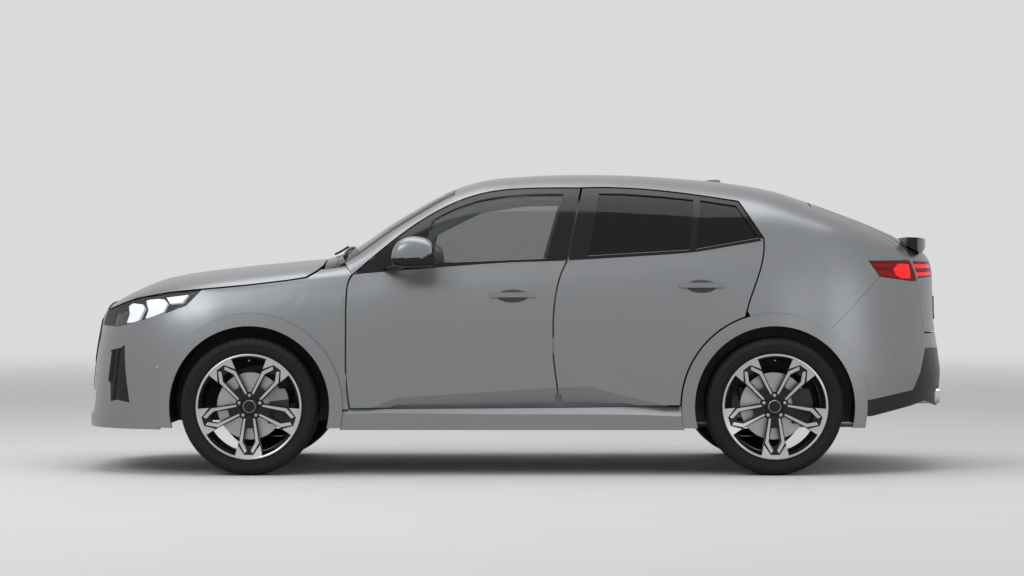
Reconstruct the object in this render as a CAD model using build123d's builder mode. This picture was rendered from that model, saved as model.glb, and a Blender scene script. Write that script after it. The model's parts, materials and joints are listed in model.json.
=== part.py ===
"""Coupe sport utility vehicle: body shell, opening panels, glass, cabin, running gear and wheels.

Frame: +X forward, +Y to the car's left, +Z up, origin on the ground under the middle of the car.
All lengths are millimetres.
"""
import os

import numpy as np
from scipy.interpolate import PchipInterpolator
from build123d import *

os.makedirs("parts", exist_ok=True)

# Overall size
LENGTH = 4554.0
NOSE_X = LENGTH / 2
TAIL_X = -LENGTH / 2
FRONT_OVERHANG = 909.0
WHEELBASE = 2692.0
TRACK = 1584.0
FRONT_AXLE_X = NOSE_X - FRONT_OVERHANG
REAR_AXLE_X = FRONT_AXLE_X - WHEELBASE
WHEEL_Y = TRACK / 2

# Wheels, tyres and brakes
TYRE_R = 352.0
TYRE_WIDTH = 245.0
AXLE_Z = TYRE_R
RIM_SEAT_R = 254.0
RIM_FLANGE_R = 271.5
RIM_WIDTH = 216.0
RIM_FACE_OFFSET = 40.0
DISC_R = 172.0
DISC_THICK = 28.0
HUB_R = 22.0
BEARING_R = 22.3
KINGPIN_INSET = 40.0
KINGPIN_R = 10.0
SPOKE_COUNT = 5
BOLT_COUNT = 5
BOLT_CIRCLE_R = 56.0

# Panel work
GAP = 8.0
SEAM = 0.9
DOOR_SKIN = 20.0
DOOR_DEPTH = 68.0
DOOR_STEP = 14.0
RING_DEPTH = 100.0
RING_THICK = 46.0
FRAME_DEPTH = 128.0
PANEL_THICK = 40.0
ROOF_THICK = 24.0
HOOD_THICK = 26.0
GLASS_THICK = 5.0
GLASS_INSET = 8.0
GLASS_SEAM = 0.4
ARCH_R = 412.0
FLARE_R = 478.0
FLARE_PROUD = 13.0
LINER_R = 425.0
LINER_WALL = 6.0
BODY_BOTTOM = 232.0
ROOF_EDGE_Y = 562.0
SCREEN_BASE_X = 930.0
SCREEN_BASE_Y = 734.0
SCREEN_TOP_X = 322.0
HATCH_FRONT_X = -1546.0
HATCH_HALF_WIDTH = 555.0
HOOD_REAR_X = 1000.0
HOOD_FRONT_X = 2150.0
HINGE_PIN_R = 3.7
DOOR_PIN_R = 3.4
LID_HINGE_DEPTH = 4.0

FAR = 3000.0


def curve(*points):
    """Smooth curve without overshoot through (position, value) points."""
    ordered = sorted(points)
    return PchipInterpolator([p[0] for p in ordered], [p[1] for p in ordered], extrapolate=True)


# The body skin: height of the roof and hood line, belt height and half widths, all along X
TOP = curve(
    (2210, 850), (2090, 918), (1833, 1022), (1449, 1076), (1180, 1103), (1000, 1122), (930, 1142),
    (605, 1338), (368, 1468), (250, 1512), (152, 1537), (-10, 1553), (-171, 1562), (-387, 1565),
    (-563, 1562), (-778, 1550), (-994, 1533), (-1209, 1506), (-1371, 1474), (-1532, 1424),
    (-1711, 1362), (-1865, 1306), (-1972, 1262), (-2069, 1214), (-2200, 1150),
)
BELT = curve(
    (2200, 812), (2150, 838), (1973, 899), (1790, 931), (1627, 948), (1382, 970), (1178, 994), (1086, 1004),
    (960, 1013), (837, 1020), (348, 1062),
    (43, 1082), (-253, 1096), (-737, 1123), (-1096, 1150), (-1287, 1163), (-1600, 1160),
    (-1900, 1135), (-2200, 1105),
)
Y_BELT = curve(
    (2200, 790), (1627, 802), (1382, 806), (837, 812), (0, 818), (-900, 815), (-1287, 800),
    (-1600, 775), (-1900, 745), (-2200, 710),
)
Y_SIDE = curve(
    (2200, 880), (1627, 882), (837, 886), (0, 893), (-900, 893), (-1287, 893), (-1600, 888), (-2200, 872),
)
SHOULDER = curve((2200, 110), (837, 120), (0, 130), (-900, 150), (-1287, 220), (-1600, 340), (-2200, 340))
LEAN = curve((2200, 0), (1100, 0), (930, 6), (600, 12), (-1300, 12), (-1600, 14), (-2200, 10))
ROUND_Y = curve((2200, 2.8), (1000, 2.8), (600, 4.4), (200, 5), (-1200, 5), (-1600, 4.2), (-2200, 3.2))
ROUND_Z = curve((2200, 1.6), (1000, 1.6), (600, 3), (200, 3), (-1200, 3), (-1600, 2.7), (-2200, 2.2))
# Nose and tail profiles on the centre line, as X along Z
NOSE = curve(
    (100, 2262), (260, 2277), (400, 2265), (600, 2245), (700, 2230), (850, 2200), (950, 2150),
    (1000, 2110), (1100, 1960),
)
TAIL = curve(
    (100, -2180), (400, -2268), (520, -2277), (600, -2268), (850, -2240), (1000, -2240), (1110, -2225),
    (1160, -2200), (1300, -2120),
)
NOSE_ROUND_X = 1500.0
NOSE_ROUND = 3.5
TAIL_ROUND_X = -1550.0
TAIL_ROUND = 3.2
SWELL_R = 560.0
SWELL_FRONT = 12.0
SWELL_REAR = 13.0
SWELL_FADE = 150.0
BELT_BLEND = 18.0

# Lower edge of the hood, which is also the upper edge of fenders and headlamps
HOOD_EDGE = (
    (1000, 1125), (1005, 1078), (1035, 1048), (1086, 1017), (1178, 1002), (1382, 978), (1627, 956),
    (1790, 940), (1973, 909), (2150, 850),
)


def past(distance):
    """Distance where it is positive and nothing where it isn't, with the corner blended."""
    return BELT_BLEND * np.logaddexp(0, distance / BELT_BLEND)


def side_y(x, z):
    """Half width of the body skin at X and height Z."""
    belt, belt_y, top = BELT(x), Y_BELT(x), TOP(x)
    depth = past(belt - z)
    rise = np.clip((z - belt) / (top - belt), 0, 1)
    lean = np.tan(np.radians(LEAN(x))) * past(z - belt)
    y = (belt_y - lean) * (1 - rise ** ROUND_Z(x)) ** (1 / ROUND_Y(x))
    y = y + (Y_SIDE(x) - belt_y) * (1 - np.exp(-depth / SHOULDER(x)))
    for axle_x, reach in ((FRONT_AXLE_X, SWELL_FRONT), (REAR_AXLE_X, SWELL_REAR)):
        away = np.hypot(x - axle_x, z - AXLE_Z) / SWELL_R
        y = y + reach * np.exp(-away ** 3) * (1 - np.exp(-depth / SWELL_FADE))
    u = np.clip((x - NOSE_ROUND_X) / (NOSE(np.clip(z, 100, 1100)) - NOSE_ROUND_X), 0, 1)
    y = y * (1 - u ** 2) ** (1 / NOSE_ROUND)
    u = np.clip((TAIL_ROUND_X - x) / (TAIL_ROUND_X - TAIL(np.clip(z, 100, 1300))), 0, 1)
    return y * (1 - u ** 2) ** (1 / TAIL_ROUND)


def halve(inside, low, high):
    """Where inside() turns from true at low to false at high, by halving."""
    for _ in range(45):
        mid = (low + high) / 2
        keep = inside(mid)
        low, high = np.where(keep, mid, low), np.where(keep, high, mid)
    return low


def top_z(x, y):
    """Height of the skin over a point of the plan."""
    low, high = BELT(x) - 60 + 0 * y, TOP(x) + 0 * y
    return halve(lambda z: side_y(x + 0 * y, z) >= np.maximum(np.abs(y), 1.0), low, high)


def nose_x(y, z):
    """X of the nose at Y and height Z."""
    near, far = 1700.0 + 0 * y, 2290.0 + 0 * y
    return halve(lambda x: side_y(x, z + 0 * y) >= np.maximum(np.abs(y), 1.0), near, far)


def tail_x(y, z):
    """X of the tail at Y and height Z."""
    near, far = -1700.0 + 0 * y, -2290.0 + 0 * y
    return halve(lambda x: side_y(x, z + 0 * y) >= np.maximum(np.abs(y), 1.0), near, far)


def even(function, low, high, count):
    """Points evenly spaced along the curve value = function(position)."""
    position = np.linspace(low, high, 500)
    value = function(position)
    run = np.concatenate([[0], np.cumsum(np.hypot(np.diff(position), np.diff(value)))])
    spots = np.interp(np.linspace(0, run[-1], count), run, position)
    return [(float(p), float(v)) for p, v in zip(spots, function(spots))]


def shell(sections):
    """Solid lofted through sections, each a plane with an outer and an inner curve on it."""
    with BuildPart() as solid:
        for plane, outer, inner in sections:
            steps = list(np.linspace(0, 1, len(outer)))
            with BuildSketch(plane):
                with BuildLine():
                    add(Edge.make_spline([Vector(*p) for p in outer], parameters=steps))
                    Line(outer[-1], inner[-1])
                    add(Edge.make_spline([Vector(*p) for p in reversed(inner)], parameters=steps))
                    Line(inner[0], outer[0])
                make_face()
        loft()
    return solid.part


def shifted(line, across, up):
    """The same curve moved as a whole."""
    return [(a + across, b + up) for a, b in line]


CABIN_STATIONS = np.concatenate([np.linspace(965, -700, 16), np.linspace(-790, -2090, 17)])
FRONT_STATIONS = np.linspace(2090, 820, 20)
UPPER_STATIONS = np.concatenate(
    [np.linspace(1005, 250, 14), np.linspace(130, -1400, 11), np.linspace(-1500, -2150, 9)])


def cabin_side(inset, thick):
    """Left skin from the windscreen base to the tail, set in and thickened inwards."""
    sections = []
    for x in CABIN_STATIONS:
        high = BELT(x) + 0.93 * (TOP(x) - BELT(x))
        line = [(y, z) for z, y in even(lambda z: side_y(x + 0 * z, z) - inset, 185.0, high, 19)]
        sections.append((Plane.YZ.offset(float(x)), line, shifted(line, -thick, 0)))
    return shell(sections)


def front_side(inset, thick):
    """Left skin from the nose corner to the front door."""
    height = curve(
        (820, 1120), (1005, 1096), (1178, 1052), (1382, 1012), (1627, 978), (1790, 958), (2090, 892))
    sections = []
    for x in FRONT_STATIONS:
        high = float(height(x))
        line = [(y, z) for z, y in even(lambda z: side_y(x + 0 * z, z) - inset, 185.0, high, 17)]
        sections.append((Plane.YZ.offset(float(x)), line, shifted(line, -thick, 0)))
    return shell(sections)


def upper_skin(thick, drop=0.0):
    """Windscreen, roof and hatch surface, thickened downwards."""
    half = curve((1010, 770), (930, 765), (322, 610), (-200, 600), (-2150, 600))
    sections = []
    for x in UPPER_STATIONS:
        line = even(lambda y: top_z(float(x), y) - drop, -float(half(x)), float(half(x)), 25)
        sections.append((Plane.YZ.offset(float(x)), line, shifted(line, 0, -thick)))
    return shell(sections)


def hood_skin(thick):
    """Hood surface, thickened downwards."""
    edge = curve(*HOOD_EDGE[1:])
    sections = []
    for x in np.linspace(HOOD_FRONT_X + 5, HOOD_REAR_X - 5, 16):
        half = float(side_y(np.array(x), np.array(float(edge(x)) - 12)))
        line = even(lambda y: top_z(float(x), y), -half, half, 23)
        sections.append((Plane.YZ.offset(float(x)), line, shifted(line, 0, -thick)))
    return shell(sections)


def nose_skin(thick, inset=0.0):
    """Front of the nose, thickened backwards."""
    sections = []
    for z in np.linspace(222, 905, 15):
        line = [(x, y) for y, x in even(lambda y: nose_x(y, float(z)) - inset, -745.0, 745.0, 27)]
        sections.append((Plane.XY.offset(float(z)), line, shifted(line, -thick, 0)))
    return shell(sections)


def tail_skin(thick, inset=0.0):
    """Back of the tail, thickened forwards."""
    sections = []
    for z in np.linspace(290, 1196, 18):
        line = [(x, y) for y, x in even(lambda y: tail_x(y, float(z)) + inset, -735.0, 735.0, 27)]
        sections.append((Plane.XY.offset(float(z)), line, shifted(line, thick, 0)))
    return shell(sections)


def wrap(heights, start_x, end_x, thick, count=61):
    """Skin round a whole end of the car, from X start_x on one side to the same X on the other."""
    sections = []
    for z in heights:
        tip = float(end_x(np.array(0.0), float(z)))
        x = start_x + (tip - start_x) * np.sin(np.linspace(0, np.pi / 2, 900))
        y = side_y(x, float(z) + 0 * x)
        y[-1] = 0
        line = np.stack([np.concatenate([x, x[-2::-1]]), np.concatenate([y, -y[-2::-1]])], 1)
        run = np.concatenate([[0], np.cumsum(np.hypot(*np.diff(line, axis=0).T))])
        spots = np.linspace(0, run[-1], count)
        outer = np.stack([np.interp(spots, run, line[:, k]) for k in (0, 1)], 1)
        way = np.gradient(outer, axis=0)
        way = way / np.linalg.norm(way, axis=1)[:, None] * np.sign(tip)
        inner = outer + thick * np.stack([way[:, 1], -way[:, 0]], 1)
        inner[[0, -1], 0] = start_x
        outer, inner = ([tuple(p) for p in line.tolist()] for line in (outer, inner))
        sections.append((Plane.XY.offset(float(z)), outer, inner))
    return shell(sections)


def grown(runs, amount):
    """The same outline moved outwards, or inwards for a negative amount."""
    corners = np.array([p for run in runs for p in run[:-1]], float)
    before, after = corners - np.roll(corners, 1, 0), np.roll(corners, -1, 0) - corners
    turn = np.sign(np.sum(corners[:, 0] * after[:, 1] - corners[:, 1] * after[:, 0]))
    normals = []
    for way in (before, after):
        way = way / np.linalg.norm(way, axis=1)[:, None]
        normals.append(turn * np.stack([way[:, 1], -way[:, 0]], 1))
    mitre = (normals[0] + normals[1]) / (1 + np.sum(normals[0] * normals[1], 1))[:, None]
    moved = [tuple(float(v) for v in p) for p in corners + amount * mitre]
    moved.append(moved[0])
    result, at = [], 0
    for run in runs:
        result.append(moved[at:at + len(run)])
        at += len(run) - 1
    return result


def prism(plane, runs, depth, grow=0.0):
    """Straight solid from an outline: a run of two points is a line, a longer one a smooth curve."""
    if grow:
        runs = grown(runs, grow)
    with BuildPart() as solid:
        with BuildSketch(plane):
            with BuildLine():
                for run in runs:
                    if len(run) == 2:
                        Line(*run)
                    else:
                        Spline(*run)
            make_face()
        extrude(amount=depth)
    return solid.part


def polygon(*points):
    """Runs of straight lines round a closed outline."""
    closed = list(points) + [points[0]]
    return [[a, b] for a, b in zip(closed, closed[1:])]


def side_prism(runs, near=200.0, far=1200.0, grow=0.0):
    """Outline in side view (X, Z), from Y near to Y far."""
    return prism(Plane.XZ.offset(-far), runs, far - near, grow)


def plan_prism(runs, low=-100.0, high=2000.0, grow=0.0):
    """Outline in plan (X, Y), from Z low to Z high."""
    return prism(Plane.XY.offset(low), runs, high - low, grow)


def front_prism(runs, back, ahead, grow=0.0):
    """Outline in front view (Y, Z), from X back to X ahead."""
    return prism(Plane.YZ.offset(back), runs, ahead - back, grow)


def block(x0, x1, y0, y1, z0, z1):
    """Box between two corners."""
    with BuildPart() as solid:
        with Locations(((x0 + x1) / 2, (y0 + y1) / 2, (z0 + z1) / 2)):
            Box(abs(x1 - x0), abs(y1 - y0), abs(z1 - z0))
    return solid.part


def rod(start, end, radius):
    """Round bar between two points."""
    a, b = Vector(*start), Vector(*end)
    with BuildPart() as solid:
        with BuildSketch(Plane(origin=a, z_dir=(b - a).normalized())):
            Circle(radius)
        extrude(amount=(b - a).length)
    return solid.part


def join(*pieces):
    """One part from overlapping pieces."""
    with BuildPart() as solid:
        for piece in pieces:
            add(piece)
    return solid.part


def meet(first, *others):
    """What all the pieces have in common."""
    with BuildPart() as solid:
        add(first)
        for other in others:
            add(other, mode=Mode.INTERSECT)
    return solid.part


def less(first, *others):
    """The first piece with the others cut away."""
    with BuildPart() as solid:
        add(first)
        for other in others:
            add(other, mode=Mode.SUBTRACT)
    return solid.part


def flip(piece):
    """The same piece on the other side of the car."""
    with BuildPart() as solid:
        mirror(piece, about=Plane.XZ)
    return solid.part


def arc_points(axle_x, radius, first, last, count=12):
    """Points of an arc round a wheel centre, angles in degrees from +X towards +Z."""
    angles = np.radians(np.linspace(first, last, count))
    return [(float(axle_x + radius * np.cos(a)), float(AXLE_Z + radius * np.sin(a))) for a in angles]


def wheel_drum(axle_x, radius, near, far):
    """Round bar along Y about a wheel centre."""
    return rod((axle_x, near, AXLE_Z), (axle_x, far, AXLE_Z), radius)


def save(piece, name):
    """Label a finished piece and write it."""
    piece.part.label = name
    export_step(piece.part, f"parts/{name}.step")


# Skins
DOOR_OUTER = cabin_side(0, DOOR_SKIN)
DOOR_INNER = cabin_side(DOOR_SKIN - 8, DOOR_DEPTH - DOOR_SKIN + 8)
FRAME_SLAB = cabin_side(0, FRAME_DEPTH)
RING_SLAB = cabin_side(RING_DEPTH, RING_THICK)
GLASS_SLAB = cabin_side(GLASS_INSET, GLASS_THICK)
PANEL_SLAB = cabin_side(0, PANEL_THICK)
FLARE_REAR = cabin_side(-FLARE_PROUD, FLARE_PROUD + 18)
CLEAR_SLAB = cabin_side(-0.4, 90)
FRONT_SLAB = front_side(0, PANEL_THICK)
FLARE_FRONT = front_side(-FLARE_PROUD, FLARE_PROUD + 18)
UPPER_ROOF = upper_skin(ROOF_THICK)
UPPER_GLASS = upper_skin(GLASS_THICK)
HOOD_SLAB = hood_skin(HOOD_THICK)
TAIL_SLAB = tail_skin(PANEL_THICK)

TAIL_SPLIT_X = -2022.0
TAIL_SPLIT_Z = 1160.0
NOSE_BAND = wrap(np.linspace(222, 952, 14), 1600.0, nose_x, PANEL_THICK)
TAIL_BAND = wrap(np.linspace(290, 1114, 18), -1560.0, tail_x, PANEL_THICK)

# Side view outlines of the doors
FRONT_DOOR = [
    [(837, 1027), (857, 995), (868, 930), (870, 860)],
    [(870, 860), (870, 560)],
    [(870, 560), (864, 450), (850, 345)],
    [(850, 345), (-216, 352)],
    [(-216, 352), (-207, 440), (-194, 535), (-185, 620)],
    [(-185, 620), (-185, 800)],
    [(-185, 800), (-195, 905), (-220, 1016), (-252, 1088)],
    [(-252, 1088), (-333, 1477)],
    [(-333, 1477), (-60, 1475), (187, 1445), (433, 1341), (658, 1181), (837, 1027)],
]
REAR_DOOR_FLARE = arc_points(REAR_AXLE_X, FLARE_R + GAP, 71.6, 1.0)
REAR_DOOR = [
    [(-224, 352), (-215, 440), (-202, 535), (-193, 620)],
    [(-193, 620), (-193, 800)],
    [(-193, 800), (-203, 905), (-228, 1016), (-262, 1088)],
    [(-262, 1088), (-345, 1477)],
    [(-345, 1477), (-538, 1477), (-745, 1462), (-951, 1436), (-1150, 1405)],
    [(-1150, 1405), (-1272, 1212)],
    [(-1272, 1212), (-1262, 1100), (-1230, 997), REAR_DOOR_FLARE[0]],
    REAR_DOOR_FLARE,
    [REAR_DOOR_FLARE[-1], (-224, 352)],
]
FRONT_WINDOW = [
    [(490, 1086), (-151, 1112)],
    [(-151, 1112), (-246, 1446)],
    [(-246, 1446), (-60, 1444), (187, 1413), (433, 1308)],
    [(433, 1308), (490, 1086)],
]
REAR_WINDOW = polygon((-374, 1126), (-889, 1156), (-917, 1416), (-740, 1434), (-560, 1447), (-430, 1449))
QUARTER_WINDOW = polygon((-927, 1160), (-1248, 1217), (-1138, 1384), (-955, 1413))
FRONT_HINGE_Z, REAR_HINGE_Z = (400.0, 520.0), (625.0, 705.0)
FRONT_HINGE_X, REAR_HINGE_X = 874.0, -189.0
DOOR_HINGE_Y = 889.0

# Hollow along the bottom of the doors: its crease from front to back, as X and Z, leans in below
SCALLOP_CREASE = ((775, 335), (610, 398), (-259, 452), (-380, 452), (-735, 366), (-800, 340))
SCALLOP_LEAN = 0.55
SCALLOP_FOOT_Z = 300.0
SCALLOP_REACH = 60.0
with BuildPart() as scallop:
    for x, z in SCALLOP_CREASE:
        skin = float(side_y(np.array(float(x)), np.array(float(z))))
        foot = skin - SCALLOP_LEAN * (z - SCALLOP_FOOT_Z)
        with BuildSketch(Plane.YZ.offset(x)):
            with BuildLine():
                Polyline(
                    (skin + SCALLOP_REACH, z), (skin, z), (foot, SCALLOP_FOOT_Z),
                    (skin + SCALLOP_REACH, SCALLOP_FOOT_Z), close=True,
                )
            make_face()
    loft(ruled=True)

# Door handles: a grip over a bowl in the skin
GRIP_HALF_LENGTH = 116.0
GRIP_HALF_HEIGHT = 13.0
GRIP_PROUD = 12.0
GRIP_ROUND = 11.0
BOWL_R = 40.0
BOWL_STRETCH = (2.4, 1.0, 1.05)
BOWL_OUT = 22.0
HANDLES = {"front": (20.0, 922.0), "rear": (-950.0, 972.0)}
HANDLE_BOWL = scale(Sphere(BOWL_R), by=BOWL_STRETCH)
GRIP_RAISE = 2.0


def grip(x, y, z):
    """Rounded door grip about a point."""
    with BuildPart() as bar:
        with Locations((x, y, z)):
            Box(2 * GRIP_HALF_LENGTH, 2 * GRIP_PROUD, 2 * GRIP_HALF_HEIGHT)
        fillet(bar.edges().filter_by(Axis.Y), GRIP_ROUND)
    return bar.part


def door(outline, windows, handle_x, handle_z):
    """Left door with its window frame and handle, made in the open part."""
    add(meet(DOOR_OUTER, side_prism(outline)))
    add(meet(DOOR_INNER, side_prism(outline, grow=-DOOR_STEP)))
    for window in windows:
        add(side_prism(window), mode=Mode.SUBTRACT)
    add(scallop.part, mode=Mode.SUBTRACT)
    skin = float(side_y(np.array(handle_x), np.array(handle_z)))
    add(Location((handle_x, skin + BOWL_OUT, handle_z)) * HANDLE_BOWL, mode=Mode.SUBTRACT)
    add(grip(handle_x, skin, handle_z + GRIP_RAISE))


def hinge_pin(x, y, heights, radius, web_end):
    """Upright door hinge pin on a web that reaches to X web_end."""
    low, high = heights
    return join(rod((x, y, low), (x, y, high), radius), block(x, web_end, y - 2, y + 2, low, high))


with BuildPart() as front_door_left:
    door(FRONT_DOOR, [FRONT_WINDOW], *HANDLES["front"])
with BuildPart() as front_door_right:
    mirror(front_door_left.part, about=Plane.XZ)
with BuildPart() as rear_door_left:
    door(REAR_DOOR, [REAR_WINDOW, QUARTER_WINDOW], *HANDLES["rear"])
with BuildPart() as rear_door_right:
    mirror(rear_door_left.part, about=Plane.XZ)
save(front_door_left, "front_door_left")
save(front_door_right, "front_door_right")
save(rear_door_left, "rear_door_left")
save(rear_door_right, "rear_door_right")

with BuildPart() as front_glass_left:
    add(meet(GLASS_SLAB, side_prism(FRONT_WINDOW, grow=-GLASS_SEAM)))
with BuildPart() as front_glass_right:
    mirror(front_glass_left.part, about=Plane.XZ)
with BuildPart() as rear_glass_left:
    for window in (REAR_WINDOW, QUARTER_WINDOW):
        add(meet(GLASS_SLAB, side_prism(window, grow=-GLASS_SEAM)))
with BuildPart() as rear_glass_right:
    mirror(rear_glass_left.part, about=Plane.XZ)
save(front_glass_left, "front_glass_left")
save(front_glass_right, "front_glass_right")
save(rear_glass_left, "rear_glass_left")
save(rear_glass_right, "rear_glass_right")

# Door mirrors: a rounded head on a foot
MIRROR_HEAD = (415, 645, 880, 1052, 1072, 1222)
MIRROR_FOOT = (520, 620, 770, 900, 1050, 1085)
MIRROR_ROUND = 52.0
MIRROR_END_ROUND = 38.0
with BuildPart() as mirror_left:
    add(block(*MIRROR_HEAD))
    fillet(mirror_left.edges().filter_by(Axis.Y), MIRROR_ROUND)
    fillet(mirror_left.edges().group_by(Axis.Y)[-1], MIRROR_END_ROUND)
    add(block(*MIRROR_FOOT))
    add(CLEAR_SLAB, mode=Mode.SUBTRACT)
with BuildPart() as mirror_right:
    mirror(mirror_left.part, about=Plane.XZ)
save(mirror_left, "mirror_left")
save(mirror_right, "mirror_right")

# Plan outlines of the upper skin
SCREEN_PLAN = polygon(
    (SCREEN_BASE_X, -SCREEN_BASE_Y), (SCREEN_BASE_X, SCREEN_BASE_Y), (SCREEN_TOP_X, ROOF_EDGE_Y),
    (SCREEN_TOP_X, -ROOF_EDGE_Y),
)
ROOF_PLAN = polygon(
    (SCREEN_TOP_X - SEAM, -ROOF_EDGE_Y), (SCREEN_TOP_X - SEAM, ROOF_EDGE_Y),
    (HATCH_FRONT_X + GAP, ROOF_EDGE_Y), (HATCH_FRONT_X + GAP, -ROOF_EDGE_Y),
)
CANOPY_PLAN = polygon(
    (HOOD_REAR_X + 20, -SCREEN_BASE_Y - SEAM), (HOOD_REAR_X + 20, SCREEN_BASE_Y + SEAM),
    (SCREEN_BASE_X, SCREEN_BASE_Y + SEAM), (SCREEN_TOP_X, ROOF_EDGE_Y + SEAM), (-2400, ROOF_EDGE_Y + SEAM),
    (-2400, -ROOF_EDGE_Y - SEAM), (SCREEN_TOP_X, -ROOF_EDGE_Y - SEAM), (SCREEN_BASE_X, -SCREEN_BASE_Y - SEAM),
)
COWL_PLAN = polygon(
    (SCREEN_BASE_X + SEAM, -SCREEN_BASE_Y), (SCREEN_BASE_X + SEAM, SCREEN_BASE_Y),
    (HOOD_REAR_X - GAP, SCREEN_BASE_Y), (HOOD_REAR_X - GAP, -SCREEN_BASE_Y),
)
HATCH_HINGE_X = HATCH_FRONT_X + GAP / 2
HATCH_HINGE_Z = float(TOP(HATCH_HINGE_X)) - LID_HINGE_DEPTH
HATCH_HINGE_Y = 200.0
HOOD_HINGE_X = HOOD_REAR_X - GAP / 2
HOOD_HINGE_Y = 150.0
HOOD_HINGE_Z = float(TOP(HOOD_HINGE_X)) - LID_HINGE_DEPTH


def lid_pins(x, z, y, web_end):
    """Two short hinge pins along Y, each on a web that reaches to X web_end."""
    pieces = []
    for side in (-1, 1):
        low, high = side * y - 35, side * y + 35
        pieces.append(rod((x, low, z), (x, high, z), HINGE_PIN_R))
        pieces.append(block(x, web_end, low, high, z - 2.5, z + 2.5))
    return join(*pieces)


HINGE_WEB = 12.0
FIN = polygon((-950, 1520), (-1000, 1538), (-1050, 1547), (-1095, 1549), (-1112, 1545), (-1120, 1500))
FIN_HALF_WIDTH = 20.0
with BuildPart() as windscreen:
    add(meet(UPPER_GLASS, plan_prism(SCREEN_PLAN)))
save(windscreen, "windscreen")
with BuildPart() as roof_panel:
    add(meet(UPPER_ROOF, plan_prism(ROOF_PLAN)))
    add(lid_pins(HATCH_HINGE_X, HATCH_HINGE_Z, HATCH_HINGE_Y, HATCH_HINGE_X + HINGE_WEB))
    add(side_prism(FIN, -FIN_HALF_WIDTH, FIN_HALF_WIDTH))
save(roof_panel, "roof_panel")
with BuildPart() as cowl_panel:
    add(meet(UPPER_ROOF, plan_prism(COWL_PLAN)))
    add(lid_pins(HOOD_HINGE_X, HOOD_HINGE_Z, HOOD_HINGE_Y, HOOD_HINGE_X - HINGE_WEB))
save(cowl_panel, "cowl_panel")

# Hood
HOOD_SIDE = [[a, b] for a, b in zip(HOOD_EDGE, HOOD_EDGE[1:])] + polygon(
    HOOD_EDGE[-1], (HOOD_FRONT_X, 1300), (HOOD_REAR_X, 1300), HOOD_EDGE[0])[:-1]
with BuildPart() as hood:
    add(meet(HOOD_SLAB, side_prism(HOOD_SIDE, -1200, 1200)))
save(hood, "hood")

# Front fenders
LAMP_FRONT = polygon(
    (1622, 947), (1698, 869), (1795, 833), (1975, 782), (2075, 760), (2300, 768), (2300, 842),
    (2150, 842), (1973, 901), (1790, 932),
)
LAMP_INNER_Y = 430.0
HOOD_CLEAR = [(x, z - GAP) for x, z in HOOD_EDGE[1:-1]]
FENDER_TOP = [
    (847.2, 1031.9), (902.2, 1111.9), (996, 1111.9), (998, 1070), (1027, 1040), (1078, 1009), (1178, 994),
    (1382, 970), (1620, 948), (1697, 868),
]
FENDER_FLARE = arc_points(FRONT_AXLE_X, FLARE_R + SEAM, 57, 181.6, 18)
FENDER = [
    [(858, 338.6), (872, 450), (878, 560)],
    [(878, 560), (878, 860)],
    [(878, 860), (876, 930), (866, 995), (847.2, 1031.9)],
]
FENDER += [[a, b] for a, b in zip(FENDER_TOP, FENDER_TOP[1:])]
FENDER += [[FENDER_TOP[-1], FENDER_FLARE[0]], FENDER_FLARE, [FENDER_FLARE[-1], (858, 338.6)]]
HINGE_WEB_END_X = 886.0
with BuildPart() as front_fenders:
    add(meet(FRONT_SLAB, side_prism(FENDER)))
    add(hinge_pin(FRONT_HINGE_X, DOOR_HINGE_Y, FRONT_HINGE_Z, DOOR_PIN_R, HINGE_WEB_END_X))
    add(plan_prism(CANOPY_PLAN), mode=Mode.SUBTRACT)
    mirror(about=Plane.XZ)
save(front_fenders, "front_fenders")

# Nose: bumper cover, lamps and grille
BUMPER_FLARE = arc_points(FRONT_AXLE_X, FLARE_R + SEAM, -14.5, 57, 12)
FRONT_BUMPER = [
    [(2350, BODY_BOTTOM), (2350, 1000)],
    [(2350, 1000), (1698, 1000)],
    [(1698, 1000), (1698, 868)],
    [(1698, 868), BUMPER_FLARE[-1]],
    list(reversed(BUMPER_FLARE)),
    [BUMPER_FLARE[0], (2350, BODY_BOTTOM)],
]
HOOD_ZONE = [[a, b] for a, b in zip(HOOD_CLEAR, HOOD_CLEAR[1:])] + polygon(
    HOOD_CLEAR[-1], (HOOD_FRONT_X + GAP, 848 - GAP), (HOOD_FRONT_X + GAP, 1300), (900, 1300),
    HOOD_CLEAR[0])[:-1]
GRILLE_OPENING = polygon((-330, 800), (330, 800), (390, 700), (330, 560), (-330, 560), (-390, 700))
LOWER_INTAKE = polygon((-520, 420), (520, 420), (470, 300), (-470, 300))
SIDE_INTAKE = polygon((600, 630), (690, 650), (705, 380), (640, 365))
lamp_side = side_prism(LAMP_FRONT, LAMP_INNER_Y, 1200)
lamp_cut = side_prism(LAMP_FRONT, LAMP_INNER_Y - SEAM, 1200, grow=SEAM)
with BuildPart() as front_bumper:
    add(meet(NOSE_BAND, side_prism(FRONT_BUMPER, -1200, 1200)))
    add(lamp_cut, mode=Mode.SUBTRACT)
    add(flip(lamp_cut), mode=Mode.SUBTRACT)
    add(side_prism(HOOD_ZONE, -1200, 1200), mode=Mode.SUBTRACT)
    for opening in (GRILLE_OPENING, LOWER_INTAKE, SIDE_INTAKE):
        cutter = front_prism(opening, 1900, 2400)
        add(cutter, mode=Mode.SUBTRACT)
        add(flip(cutter), mode=Mode.SUBTRACT)
save(front_bumper, "front_bumper")
with BuildPart() as headlamps:
    add(meet(NOSE_BAND, lamp_side))
    mirror(about=Plane.XZ)
save(headlamps, "headlamps")

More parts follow.
